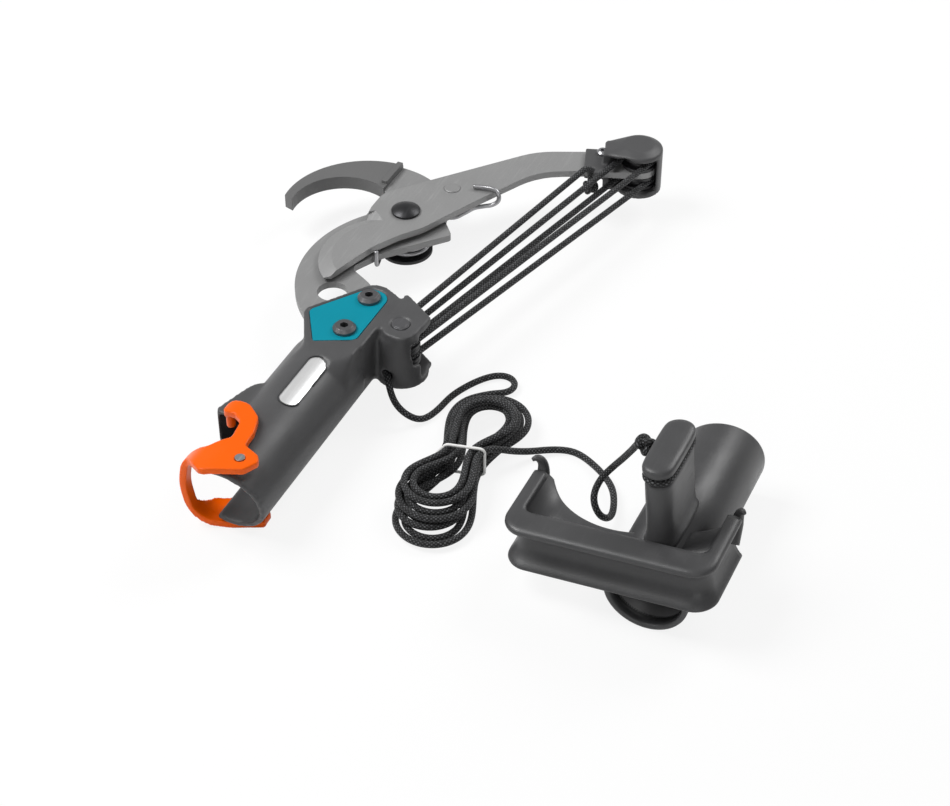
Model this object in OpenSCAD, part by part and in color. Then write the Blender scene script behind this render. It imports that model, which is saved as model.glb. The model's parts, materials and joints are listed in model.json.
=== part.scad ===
// Rope-pulled tree pruner head with its pull rope and its rope winder, laid flat on a table.
// Millimetres. +Y runs along the pole socket from its mouth to the cutting head.
// +Z is up and square to the blades, +X is to the right.
// The origin lies on the socket's axis, between its leaning mouth and its whole round bore.

/* [Pole socket] */
// bore of the pole socket, a clearance fit on the pole
pole_bore_d = 37; // [35:0.5:40]
// wall of the socket tube
socket_wall = 3; // [2.6:0.1:4]
// depth of the round bore behind the origin
bore_len = 75; // [66:1:90]
// distance of the mouth in front of the origin, on the axis
mouth_len = 26; // [24:0.5:30]
// lean of the mouth, its upper lip standing forward
mouth_lean = 13; // [6:1:16]
// length of the bare name plate on the socket
badge_len = 40; // [30:1:46]
// width of the bare name plate
badge_w = 10; // [8:0.5:14]

/* [Head casing] */
// thickness of the turquoise cover plate
cover_t = 2; // [1.2:0.1:2.4]
// shank diameter of the two clamping screws
clamp_d = 6; // [5:0.5:7]

/* [Cutting head] */
// thickness of the fixed hook plate
plate_t = 4; // [3:0.5:5]
// thickness of the moving blade and its lever
blade_t = 4; // [3:0.5:5]
// height of the spacing washer between the two plates
spacer_t = 2.4; // [2:0.1:3]
// wall of the hook shoe above and below the hook plate
shoe_wall = 2; // [1.6:0.1:2.2]
// shank diameter of the pivot bolt
pivot_d = 8; // [7:0.5:10]
// distance from the pivot to the axle of the upper pulley block
lever_len = 145; // [138:1:152]
// width of the ground bevel on the cutting edge
bevel_w = 8; // [5:0.5:10]

/* [Return spring] */
// wire of the return spring
wire_d = 2.6; // [2.2:0.1:2.8]
// mean radius of the spring's coil
coil_r = 12.8; // [12.4:0.1:13.6]
// whole turns of the coil
coil_turns = 3; // [2:1:4]

/* [Pulleys] */
// diameter of the pull rope
rope_d = 3.6; // [3.2:0.1:3.8]
// radius of the rope's centre line round a pulley wheel
wrap_r = 8.2; // [7.8:0.1:8.6]
// width of one pulley wheel
sheave_w = 8; // [7.4:0.1:8]
// diameter of the pulley axles
axle_d = 7; // [5:0.5:8]

/* [Latch] */
// thickness of the orange latch's plates and strap
latch_t = 3.8; // [3:0.1:4.4]
// hinge pin of the latch
latch_pin_d = 5; // [4:0.5:6]
// width of the latch's strap where it is narrowest
strap_w = 6; // [5:0.5:8]

/* [Rope hank] */
// length of the tied hank over its ends
hank_len = 124; // [116:1:132]
// radius of the innermost fold at the hank's ends
fold_r = 10.8; // [10.8:0.1:12]
// width of the white tie
tie_w = 2.4; // [2:0.2:6]

/* [Rope winder] */
// length of the winder's tube
winder_len = 109; // [96:1:120]
// width of the winder's frame
frame_w = 107; // [100:1:112]
// height of the winder's frame
frame_h = 25; // [23:0.5:27]
// height of the oval post over the top of the frame
post_h = 32; // [26:1:40]

/* [Fits] */
// radial clearance of turning fits
run_gap = 0.05; // [0.02:0.01:0.1]
// clearance between pieces that lie against each other
lie_gap = 0.15; // [0.1:0.05:0.3]
// clearance between moving faces
move_gap = 0.4; // [0.3:0.05:0.5]

/* [Hidden] */
$fn = 64;

// Socket and casing
bore_r = pole_bore_d / 2;
tube_r = bore_r + socket_wall;
head_y = bore_len + 5;
strap_r = tube_r + 0.7;
latch_z = strap_r + latch_t;
floor_z = -latch_z;
casing_top = tube_r + 0.6;
casing_low = -plate_t - 4;
sole_y = head_y + 52;
cover_z = casing_top - 0.5 - cover_t;
window_x = 8;
window_y = 15;
pocket_x = 28;
pocket_z = [-6, 15.5];
pocket_wall = 2;
pocket_pts = [[-10, window_y, 0], [1.6 - pocket_x, window_y, 1], [-pocket_x, window_y + 3, 2],
    [-20.4, window_y + 29, 12], [-10, window_y + 32, 0]];
screw_at = [[5.2, head_y + 14.1], [5.2, head_y + 42.8]];
casing_pts = [[-tube_r - 1.2, head_y + 21, 4], [3, head_y + 58.5, 9], [tube_r - 1, head_y + 50.5, 4],
    [tube_r - 1, head_y + 4, 3], [-8.6, head_y - 5, 3]];
cover_pts = [[-5.5, head_y - 1, 0.6], [14.4, head_y + 8.8, 4], [14.6, head_y + 50.8, 7.4],
    [1.2, head_y + 51.4, 5], [-19.6, head_y + 21.6, 4]];

// Heights of the plates
blade_z = spacer_t + 0.2;
blade_top = blade_z + blade_t;
plane_z = blade_z + blade_t / 2;
pivot = [-22.2, head_y + 142.5];

// Pulleys
rope_r = rope_d / 2;
groove_r = rope_r + move_gap;
sheave_r = wrap_r + 2;
axle_at = [29.9, head_y + 30.5];
block_turn = 44.1;
tongue_turn = 19.4;
block_at = pivot + polar(lever_len, block_turn);
low_pitch = sheave_w + 0.4;
low_z = [plane_z + low_pitch, plane_z, plane_z - low_pitch];
up_pitch = blade_t / 2 + 0.3 + sheave_w / 2;
up_z = [plane_z + up_pitch, plane_z - up_pitch];
slot_h = 3 * sheave_w + 1.6;
cheek_up = 4.6;
cheek_down = 3.6;
cheek_low = plane_z - slot_h / 2 - cheek_down;
cheek_top = plane_z + slot_h / 2 + cheek_up;
fall_span = block_at - axle_at;
fall_dir = fall_span / norm(fall_span);
fall_left = [-fall_dir[1], fall_dir[0]];
fall_turn = atan2(fall_dir[1], fall_dir[0]);
boss_r = sheave_r + 2.8;
cap_z = up_z[0] + sheave_w / 2 + 0.4;
hood_t = 5;
axle_top = cap_z + 1.4;
sole_z = up_z[1] - sheave_w / 2 - 0.4;
dead_local = [-28, -12.9];
dead_at = block_at + turned(dead_local, tongue_turn);
flange_z = blade_top + 0.2;
flange_t = 3.2;
clamp_low = blade_z - 0.2 - flange_t;
clamp_screw_d = 4.2;
clamp_at = [-21.7, 4.4];
housing_r = sheave_r + 3.4;
dead_z = flange_z + flange_t + rope_r + 0.6;

// Blade outline about the pivot
edge_at = [10, -40.8];
edge_r = 40.2;
throat_at = [-38.8, -5.2];
throat_r = 30.2;
brow_at = [-25.6, -1.3];
brow_r = 49.2;
belly_at = [33.9, -47];
belly_r = 71.5;
shoe_x = -25;
brow_end = acos((shoe_x - brow_at[0]) / brow_r);
rib_w = 3.4;
rib_y = 26;
bevel_slope = (blade_t - 0.4) / bevel_w;

// Spring and spool
hub_r = 10.2;
coil_pitch = wire_d + 0.55;
coil_top = -plate_t - wire_d / 2 - 1.4;
coil_sweep = 360 * coil_turns + 60;
coil_low = coil_top - coil_sweep / 360 * coil_pitch;
spool_low = coil_low - wire_d / 2 - 0.6;
spool_t = 2;
nut_t = 3;
nut_low = spool_low - spool_t - nut_t;

// Latch
latch_at = [7.9, -20.8];
tab_low = 12.4;
latch_bend = 11;
strap_y = -22.5;
strap_front = strap_y - strap_w / 2;
strap_back = strap_y + strap_w / 2;

// Winder
winder_at = [210, 2, floor_z + tube_r];
winder_roll = -5;
frame_left = -73;
frame_right = frame_left + frame_w;
bar_y = 12;
arm_y = 43;
frame_post_z = frame_h + post_h;
neck_h = rope_d + 1.4;
cap_t = 4.5;
neck_r = 4.2;
loop_r = neck_r + rope_r + 0.3;

// Rope hank
rope_low = floor_z + rope_r + 0.1;
tie_t = 1.3;
hank_at = [86, 65.5];
hank_turn = 4;
hank_step = rope_d + 0.9;
hank_rise = rope_d + 0.6;
hank_waist = rope_r + 0.5;
hank_low = floor_z + tie_t + 0.4 + rope_r;
fold_u = hank_len / 2 - rope_r - fold_r - 2 * hank_step;
hank_from = -75;
hank_to = 2700;
// how much sooner each layer of loops turns back than the lowest layer
near_cut = [0, 5, 9.5, 14];
far_cut = [0, 4, 8, 12];

function unit(v) = v / norm(v);
function polar(r, a) = [r * cos(a), r * sin(a)];
function turned(p, a) = [p[0] * cos(a) - p[1] * sin(a), p[0] * sin(a) + p[1] * cos(a)];
function lift(p, z) = [p[0], p[1], z];

// Points of an arc about c
function arc(c, r, a0, a1, n = 24) = [for (i = [0:n]) c + polar(r, a0 + (a1 - a0) * i / n)];

// The corner b between a and c, rounded to radius r
function corner(a, b, c, r) =
    let (u = unit(a - b), v = unit(c - b), half = acos(u * v) / 2,
        m = b + unit(u + v) * r / sin(half),
        p = b + u * r / tan(half) - m,
        q = b + v * r / tan(half) - m,
        a0 = atan2(p[1], p[0]),
        turn = atan2(p[0] * q[1] - p[1] * q[0], p * q),
        n = max(2, ceil(abs(turn) / 8)))
    [for (i = [0:n]) m + polar(r, a0 + turn * i / n)];

// An outline whose corners [x, y, radius] are rounded
function rounded(pts) =
    let (n = len(pts), at = [for (p = pts) [p[0], p[1]]])
    [for (i = [0:n - 1]) each pts[i][2] > 0
        ? corner(at[(i + n - 1) % n], at[i], at[(i + 1) % n], pts[i][2])
        : [at[i]]];

// A smooth line through hand-chosen points, m steps to each stretch
function smooth(p, m) =
    let (n = len(p))
    [for (i = [0:n - 2]) let (a = p[max(i - 1, 0)], b = p[i], c = p[i + 1], d = p[min(i + 2, n - 1)])
        for (k = [0:(i == n - 2 ? m : m - 1)]) let (t = k / m)
            0.5 * (2 * b + (c - a) * t + (2 * a - 5 * b + 4 * c - d) * t * t
                + (3 * b - a - 3 * c + d) * t * t * t)];

// Direction of a path at each of its points
function headings(p) =
    let (n = len(p))
    [for (i = [0:n - 1]) unit(p[min(i + 1, n - 1)] - p[max(i - 1, 0)])];

// Side directions carried along a path without twist
function sides_of(t, last, i = 0) = i == len(t) ? [] :
    let (s = unit(last - (last * t[i]) * t[i]))
    concat([s], sides_of(t, s, i + 1));

// A round cord or wire along a path
module cord(path, r, around, side = [0, 0, 1]) {
    t = headings(path);
    s = sides_of(t, side);
    n = len(path);
    rings = [for (i = [0:n - 1]) let (b = cross(t[i], s[i]))
        for (k = [0:around - 1]) path[i] + r * (cos(360 * k / around) * s[i] + sin(360 * k / around) * b)];
    walls = [for (i = [0:n - 2]) for (k = [0:around - 1])
        let (a = i * around + k, b = i * around + (k + 1) % around)
        each [[a, a + around, b], [b, a + around, b + around]]];
    ends = [for (k = [1:around - 2]) each [[0, k, k + 1],
        [(n - 1) * around, (n - 1) * around + k + 1, (n - 1) * around + k]]];
    polyhedron(rings, concat(walls, ends));
}

// Least distance of a path to itself, leaving out the near neighbours along it
function self_gap(p, d, skip) = min([for (i = [0:len(p) - 1 - skip])
    min([for (j = [i + skip:len(p) - 1]) norm(p[i] - p[j])])]) - d;

module at_pivot(z = 0) translate([pivot[0], pivot[1], z]) children();
module at_block(z = 0) translate([block_at[0], block_at[1], z]) rotate(tongue_turn) children();
module at_axle(z = 0) translate([axle_at[0], axle_at[1], z]) children();
module along_y(y0, y1, r) translate([0, y0, 0]) rotate([-90, 0, 0]) cylinder(r = r, h = y1 - y0);
module rod(a, b, r) translate(a) rotate([0, acos(unit(b - a)[2]), atan2(b[1] - a[1], b[0] - a[0])])
    cylinder(r = r, h = norm(b - a));
module ring_part(r, rr, a0, a1) rotate(a0) rotate_extrude(angle = a1 - a0) translate([r, 0]) circle(rr);

// Pulley block of the socket: outline of its cheeks
cheek_pts = [[axle_at[0] - 7.4, axle_at[1] - 10.6, 6], [axle_at[0] + 7.4, axle_at[1] - 13.6, 7],
    [axle_at[0] + 11.4, axle_at[1] - 4.4, 5], [axle_at[0] + 12.6, axle_at[1] + 11.4, 2],
    [axle_at[0] - 9.2, axle_at[1] + 25.8, 1.5]];

module socket_body() color("#575757") difference() {
    union() {
        difference() {
            union() {
                along_y(-mouth_len - tube_r, sole_y, tube_r);
                translate([0, sole_y, 0]) rotate([-90, 0, 0]) cylinder(r1 = tube_r, r2 = tube_r - 6, h = 6);
            }
            translate([-50, head_y + 4, casing_low + 2]) cube([100, 100, 60]);
        }
        hull() {
            along_y(head_y - 17, head_y - 16.5, tube_r - 0.3);
            translate([-7.6, head_y - 3, 6]) cube([26.8, 20, casing_top - 6.1]);
        }
        translate([0, 0, casing_low]) linear_extrude(casing_top - casing_low) polygon(rounded(casing_pts));
        translate([0, 0, cheek_low]) linear_extrude(cheek_top - cheek_low) polygon(rounded(cheek_pts));
        at_axle(cheek_low) cylinder(r1 = boss_r + 1.6, r2 = boss_r, h = slot_h + cheek_down);
        translate([0, 0, pocket_z[0]]) linear_extrude(pocket_z[1] - pocket_z[0]) polygon(rounded(pocket_pts));
        translate([latch_at[0], latch_at[1], 12]) cylinder(r = latch_pin_d / 2 + 2.6, h = strap_r - 12.3);
    }
    along_y(-100, bore_len, bore_r);
    translate([0, -mouth_len, 0]) rotate([mouth_lean, 0, 0])
        translate([-60, -100, -60]) cube([120, 100, 120]);
    translate([-60, -100, -60]) cube([60 - window_x, 100 + window_y, 120]);
    translate([0, 0, pocket_z[0] + pocket_wall]) linear_extrude(pocket_z[1] - pocket_z[0] - 2 * pocket_wall)
        polygon([[-10, window_y - 5], [2.4 - pocket_x, window_y - 5], [pocket_wall - pocket_x, window_y + 3],
            [-22.4, window_y + 16], [-10, window_y + 16]]);
    badge_space(lie_gap, 1.2);
    translate([0, 0, cover_z - 0.1]) linear_extrude(10)
        offset(delta = lie_gap) polygon(rounded(cover_pts));
    translate([-16, head_y + 3, -plate_t - lie_gap]) cube([31.8, 80, plate_t + 2 * lie_gap]);
    translate([-40, head_y + 20, -plate_t - lie_gap]) cube([50, 60, plate_t + 2 * lie_gap]);
    for (p = screw_at) translate([p[0], p[1], -tube_r - 1]) {
        cylinder(d = clamp_d + 0.4, h = 60);
        cylinder(r = clamp_d * 0.98 + 0.3, h = 6.5, $fn = 6);
    }
    translate([0, 0, plane_z - slot_h / 2]) linear_extrude(slot_h) union() {
        translate(axle_at) circle(r = sheave_r + move_gap);
        polygon([axle_at + turned([0, sheave_r + move_gap + 0.2], fall_turn),
            axle_at + turned([0, -sheave_r - 20], fall_turn),
            axle_at + turned([60, -sheave_r - 20], fall_turn),
            axle_at + turned([60, sheave_r + move_gap + 4], fall_turn)]);
    }
    at_axle(-60) cylinder(d = axle_d + 0.1, h = 120);
    at_axle(cheek_top - 1.6) cylinder(r = axle_d / 2 + 2.4, h = 10);
    rod(lead_from - 1 * lead_dir, lead_from + 26 * lead_dir, rope_r + 0.9);
    translate([latch_at[0], latch_at[1], bore_r - 0.5]) cylinder(d = latch_pin_d + 2 * run_gap, h = 20);
}

// Stadium on top of the tube where the name plate sits
module badge_space(gap, deep) intersection() {
    difference() {
        along_y(head_y - 60, head_y, tube_r + 4);
        along_y(head_y - 61, head_y + 1, tube_r - deep);
    }
    translate([4.8, head_y - 31, 0]) linear_extrude(40) {
        square([badge_w + 2 * gap, badge_len - badge_w], center = true);
        for (s = [-1, 1]) translate([0, s * (badge_len - badge_w) / 2]) circle(d = badge_w + 2 * gap);
    }
}

module name_plate() color("WhiteSmoke") intersection() {
    badge_space(0, 1.1);
    along_y(head_y - 60, head_y, tube_r - 0.3);
}

module cover_plate() color("#0094a8") difference() {
    translate([0, 0, cover_z]) linear_extrude(cover_t) polygon(rounded(cover_pts));
    for (p = screw_at) translate([p[0], p[1], 0]) cylinder(d = clamp_d + 0.3, h = 60);
}

module cover_screws() color("Silver") for (p = screw_at) translate([p[0], p[1], 0]) difference() {
    union() {
        translate([0, 0, -tube_r + 0.2]) cylinder(d = clamp_d, h = tube_r + cover_z + cover_t);
        translate([0, 0, cover_z + cover_t + 0.02]) cylinder(r = clamp_d * 1.03, h = 1.6);
        translate([0, 0, cover_z + cover_t + 1.6])
            cylinder(r1 = clamp_d * 1.03, r2 = clamp_d * 0.78, h = 1.6);
    }
    translate([0, 0, cover_z + cover_t - 0.2]) cylinder(d = clamp_d * 0.8, h = 9, $fn = 6);
}

module cover_nuts() color("Silver") for (p = screw_at) translate([p[0], p[1], -tube_r + 0.2])
    difference() {
        cylinder(r = clamp_d * 0.96, h = 5, $fn = 6);
        translate([0, 0, -1]) cylinder(d = clamp_d + 0.1, h = 9);
    }

// Hook plate: crescent arm, pivot eye, hook root and the tongue inside the shoe
module hook_plate() color("#868686") at_pivot(-plate_t) linear_extrude(plate_t) difference() {
    union() {
        polygon(concat(arc(belly_at, belly_r, 143.3, 245.6, 48),
            rounded([[8.2, -118.5, 0], [8.2, -137, 3], [36.4, -137, 3], [36.4, -90.6, 0], [8.4, -62.3, 30],
                [-8.4, -53.2, 5], [0.2, -35.6, 25], [29.8, -1.8, 2.5], [21, 8.6, 4], [16, 26, 14],
                lift(brow_at + polar(brow_r, 56), 0)]),
            arc(brow_at, brow_r, 57, brow_end, 12),
            [[shoe_x, 22.3], [-23.2, 20]]));
        intersection() {
            difference() {
                translate(brow_at) circle(r = brow_r - shoe_wall - 0.6);
                translate(throat_at) circle(r = throat_r + shoe_wall + 0.6);
            }
            translate([-66, 2]) square([66 + shoe_x + 1, 60]);
        }
    }
    circle(d = pivot_d + 2 * lie_gap);
    translate([-7.5, -77]) circle(r = 8.5);
    for (p = screw_at) translate(p - pivot) circle(d = clamp_d + 0.3);
}

module shoe_solid() translate([0, 0, -plate_t - shoe_wall - lie_gap])
    linear_extrude(plate_t + 2 * shoe_wall + 2 * lie_gap) intersection() {
        difference() {
            translate(brow_at) circle(r = brow_r);
            translate(throat_at) circle(r = throat_r);
        }
        polygon([[shoe_x - 0.1, 8], [shoe_x - 0.1, 70], [-90, 70], [-90, -4.2], [-66, -11.4]]);
    }

// Thick shoe on the hook, with the tongue's pocket and a rib across its inner end
module hook_shoe() color("#6e6e6e") at_pivot() difference() {
    union() {
        shoe_solid();
        linear_extrude(shoe_wall + 2) intersection() {
            translate(brow_at) circle(r = brow_r - 0.4);
            translate([shoe_x - 0.1 - rib_w, rib_y]) square([rib_w, 60]);
        }
    }
    translate([0, 0, -plate_t - lie_gap]) linear_extrude(plate_t + 2 * lie_gap) intersection() {
        difference() {
            translate(brow_at) circle(r = brow_r - shoe_wall - 0.6 + lie_gap);
            translate(throat_at) circle(r = throat_r + shoe_wall + 0.6 - lie_gap);
        }
        translate([-66 - lie_gap, 2 - lie_gap]) square([66 + shoe_x + 9, 60]);
    }
}

module pivot_bolt() color("#3a3a3c") at_pivot() {
    translate([0, 0, nut_low + 0.4]) cylinder(d = pivot_d, h = blade_top + 2 - nut_low - 0.4);
    translate([0, 0, blade_top + 0.2]) rotate_extrude() intersection() {
        translate([0, -10.4]) circle(r = 14.2);
        square([8.3, 4]);
    }
}

module pivot_spacer() color("Silver") at_pivot() difference() {
    cylinder(r = 10, h = spacer_t);
    translate([0, 0, -1]) cylinder(d = pivot_d + 2 * run_gap, h = 9);
}

module spring_spool() color("#4a4a4c") at_pivot() difference() {
    union() {
        translate([0, 0, spool_low]) cylinder(r = hub_r, h = -plate_t - spool_low);
        translate([0, 0, spool_low - spool_t]) cylinder(r = coil_r + wire_d / 2 + 1, h = spool_t);
    }
    translate([0, 0, -60]) cylinder(d = pivot_d + 2 * run_gap, h = 60);
}

module pivot_nut() color("Silver") at_pivot(nut_low) difference() {
    cylinder(r = pivot_d * 0.92, h = nut_t, $fn = 6);
    translate([0, 0, -1]) cylinder(d = pivot_d + 2 * run_gap, h = 9);
}

// One wire: hook over the fixed plate, coil round the spool, hook over the lever's edge
spring_start = [[0.9, -39.7, 5], [0.8, -39.7, 0.6], [0.6, -39.2, -4], [-1, -35, -7.4], [-6, -22, -12],
    [-12, -9, coil_low + 0.6]];
spring_coil = [for (i = [0:8 * coil_turns + 1]) let (f = i / (8 * coil_turns + 1))
    lift(polar(coil_r, 180 - coil_sweep * f), coil_low + (coil_top - coil_low) * f)];
hook_z = blade_top + wire_d / 2 + 0.5;
spring_end = [[6, 18.3, coil_top], [19, 22.6, coil_top], [24.6, 25.5, -4], [29.6, 28.8, -0.9],
    [34, 32.4, -0.6], [38.6, 35.2, 0], [41.6, 36.8, 2.6], [41.4, 37.8, 6.2], [38, 38.9, hook_z],
    [31.4, 38.2, hook_z], [25.8, 36.8, hook_z]];
spring_path = concat(smooth(spring_start, 2), spring_coil, smooth(spring_end, 2));

module return_spring() color("Gainsboro") at_pivot() cord(spring_path, wire_d / 2, 6);

// Moving blade and its lever, one plate
eye_r = 10.2;
tongue = [for (p = concat([[-32, eye_r]], arc([0, 0], eye_r, 90, -90), [[-32, -eye_r]]))
    block_at - pivot + turned(p, tongue_turn)];
module lever_blade() color("#909090") at_pivot() difference() {
    translate([0, 0, blade_z]) linear_extrude(blade_t) difference() {
        polygon(concat(rounded(concat([[-20, -4, 0], [-20, 11.5, 14], [44, 88, 45]],
            [for (i = [0:len(tongue) - 1]) lift(tongue[i], i == len(tongue) - 1 ? 12 : 0)],
            [[52.8, 68.6, 40], [33, 28.2, 60], [23.6, 7.5, 60], [15.8, -10.4, 30], [6.6, -22.8, 30],
            [-2, -38.8, 30], [-5.8, -51, 20], [-10, -66, 3], [-11.6, -70.2, 1.5],
            lift(edge_at + polar(edge_r, 230.2), 0)])), arc(edge_at, edge_r, 229, 135.5, 40)));
        circle(d = pivot_d + 2 * run_gap);
        translate(block_at - pivot) circle(d = axle_d + 0.1);
        translate(block_at - pivot + turned(clamp_at, tongue_turn)) circle(d = clamp_screw_d + 0.1);
        translate([14.3, 32.3]) circle(d = 6.1);
    }
    intersection() {
        translate(lift(edge_at, blade_z)) rotate(100) rotate_extrude(angle = 150) polygon([
            [edge_r + 3, 0.5 - 3 * bevel_slope], [edge_r - bevel_w, blade_t + 0.1],
            [edge_r + 3, blade_t + 0.1]]);
        translate([-20, -4.4, blade_top]) rotate(-40.5) rotate([90, 0, 90]) translate([0, 0, -30])
            linear_extrude(130) polygon([[3.2, 1], [-11.2, -6], [-90, -6], [-90, 1]]);
    }
}

module lever_rivet() color("#7c7c7c") at_pivot() translate([14.3, 32.3, 0]) {
    translate([0, 0, blade_z]) cylinder(d = 6, h = blade_t + 0.1);
    translate([0, 0, blade_top + 0.05]) cylinder(r1 = 5, r2 = 4.2, h = 0.7);
}

module lower_axle() color("Silver") at_axle() {
    translate([0, 0, cheek_low - 2.4]) cylinder(d = axle_d, h = cheek_top - cheek_low + 2.4);
    translate([0, 0, cheek_top - 1.6]) cylinder(r1 = axle_d / 2 + 1.9, r2 = axle_d / 2 + 1.2, h = 1.5);
}

module axle_clip() color("#3a3a3c") at_axle(cheek_low - 1.4) difference() {
    cylinder(r = axle_d / 2 + 2.2, h = 1.2);
    translate([0, 0, -1]) cylinder(d = axle_d + 2 * run_gap, h = 4);
}

// Grooved pulley wheel, its groove clear of the rope all round
module sheave(z) translate([0, 0, z]) rotate_extrude() difference() {
    translate([axle_d / 2 + run_gap, -sheave_w / 2]) square([sheave_r - axle_d / 2 - run_gap, sheave_w]);
    translate([wrap_r, 0]) circle(r = groove_r);
    translate([wrap_r, -groove_r]) square([10, 2 * groove_r]);
}

module lower_sheave_1() color("#2c2c2e") at_axle() sheave(low_z[0]);
module lower_sheave_2() color("#2c2c2e") at_axle() sheave(low_z[1]);
module lower_sheave_3() color("#2c2c2e") at_axle() sheave(low_z[2]);
module upper_sheave_1() color("#2c2c2e") at_block() sheave(up_z[0]);
module upper_sheave_2() color("#2c2c2e") at_block() sheave(up_z[1]);

// Plastic housing of the upper block, clamped on the lever's tongue
module block_housing() color("#505052") difference() {
    at_block() housing_solid();
    rod(lift(dead_at, flange_z - 0.5), lift(dead_at - 8 * dead_axis, dead_z + 3), rope_r + 0.9);
}

module housing_solid() {
    difference() {
        union() {
            translate([0, 0, sole_z - 3]) cylinder(r = housing_r, h = cap_z - sole_z + 5.2);
            hull() {
                translate([0, 0, cap_z + 0.4]) cylinder(r = housing_r - 0.1, h = 2.6, $fn = 32);
                translate([-0.6, 1, cap_z + hood_t - 0.2]) cylinder(r = housing_r - 4.4, h = 0.2, $fn = 32);
                translate([-20.6, -6.6, cap_z - 1]) cube([4, 14, 2]);
            }
        }
        translate([0, 0, sole_z]) linear_extrude(cap_z - sole_z) {
            circle(r = sheave_r + move_gap);
            polygon(concat([[0, 0]], arc([0, 0], 40, 102, 324, 12)));
        }
        translate([0, 0, cap_z - 7.2]) rotate(fall_turn - tongue_turn + 180) rotate([0, 90, 0])
            translate([0, 0, axle_d]) cylinder(r = 9, h = 40);
        translate([0, 0, -60]) cylinder(d = axle_d + 0.1, h = 60 + axle_top + 0.1);
    }
    difference() {
        union() {
            translate([-32, -16.8, flange_z]) cube([16, 26, flange_t]);
            translate([-21, -7.5, flange_z + 0.4]) cube([13, 15.6, cap_z + 1.2 - flange_z]);
            translate([-32, -7.2, clamp_low]) cube([16, 16.4, flange_t]);
            translate([-21, -7, sole_z - 2]) cube([13, 15, blade_z - 0.6 - sole_z + 2]);
        }
        translate([0, 0, sole_z + 0.05]) linear_extrude(cap_z - sole_z - 0.1) {
            circle(r = sheave_r + move_gap + 0.1);
            polygon([turned([0, wrap_r + rope_r + 0.6], fall_turn - tongue_turn),
                turned([0, -wrap_r - 8], fall_turn - tongue_turn),
                turned([-60, -wrap_r - 8], fall_turn - tongue_turn),
                turned([-60, wrap_r + rope_r + 0.6], fall_turn - tongue_turn)]);
        }
        translate(lift(clamp_at, -60)) cylinder(d = clamp_screw_d + 0.1, h = 120);
        translate(lift(clamp_at, flange_z + flange_t)) cylinder(r = 4.1, h = 40);
        translate(lift(clamp_at, -60)) cylinder(r = 4.5, h = 60 + clamp_low);
        translate([dead_local[0], dead_local[1], flange_z - 1]) cylinder(r = rope_r + 0.7, h = 20);
        translate([0, 0, -60]) cylinder(d = axle_d + 0.3, h = 120);
    }
}

module block_axle() color("Silver") at_block() {
    translate([0, 0, sole_z - 3.6]) cylinder(d = axle_d, h = axle_top - sole_z + 3.6);
}

module block_screw() color("Silver") at_block() translate(clamp_at) difference() {
    union() {
        translate([0, 0, clamp_low - 3.4])
            cylinder(d = clamp_screw_d, h = flange_z + flange_t - clamp_low + 3.6);
        translate([0, 0, flange_z + flange_t + 0.02]) cylinder(r = 3.7, h = 1.4);
        translate([0, 0, flange_z + flange_t + 1.4]) cylinder(r1 = 3.7, r2 = 2.6, h = 1);
    }
    translate([0, 0, flange_z + flange_t + 0.4]) cylinder(r = 1.6, h = 9, $fn = 6);
}

module block_nut() color("Silver") at_block() translate(lift(clamp_at, clamp_low - 3.2)) difference() {
    cylinder(r = 3.9, h = 3.1, $fn = 6);
    translate([0, 0, -1]) cylinder(d = clamp_screw_d + 0.1, h = 9);
}

// Places where the falls touch the wheels
low_left = [for (z = low_z) lift(axle_at + wrap_r * fall_left, z)];
low_right = [for (z = low_z) lift(axle_at - wrap_r * fall_left, z)];
up_left = [for (z = up_z) lift(block_at + wrap_r * fall_left, z)];
up_right = [for (z = up_z) lift(block_at - wrap_r * fall_left, z)];
end_cut = 0.16;

// Five taut falls with the turns round the two outer lower wheels
function low_arc(k, a1) = [for (p = arc(axle_at, wrap_r, fall_turn + 90, a1, 9)) lift(p, low_z[k])];
function short_of(a, b) = b - end_cut * unit(b - a);
module rope_falls() color("#222222") {
    cord(concat([dead_top], low_arc(0, fall_turn + 270), [short_of(low_right[0], up_right[0])]), rope_r, 10);
    cord(concat([short_of(low_left[1], up_left[0])], low_arc(1, fall_turn + 270),
        [short_of(low_right[1], up_right[1])]), rope_r, 10);
    cord([short_of(up_left[1], low_left[2]), short_of(low_left[2], up_left[1])], rope_r, 10);
}

// Half turns round the two upper wheels
module upper_wraps() color("#222222") for (k = [0, 1]) translate(lift(block_at, up_z[k]))
    ring_part(wrap_r, rope_r, fall_turn - 90, fall_turn + 90);

// Dead end of the rope: over the flange, down its hole to a stopper knot
dead_axis = unit(dead_at - axle_at - wrap_r * fall_left);
dead_top = lift(dead_at - 9.5 * dead_axis, dead_z + 1.2);
dead_heading = unit(dead_top - low_left[0]);
dead_path = smooth([dead_top + end_cut * dead_heading, dead_top + 2.6 * dead_heading,
    lift(dead_at - 3.6 * dead_axis, dead_z - 0.4), lift(dead_at - 0.8 * dead_axis, dead_z - 4),
    lift(dead_at, flange_z), lift(dead_at, blade_z - 1.4)], 3);
module dead_end_knot() color("#222222") {
    cord(dead_path, rope_r, 8);
    translate(lift(dead_at, blade_z - 5.6)) sphere(r = 5);
}

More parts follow.
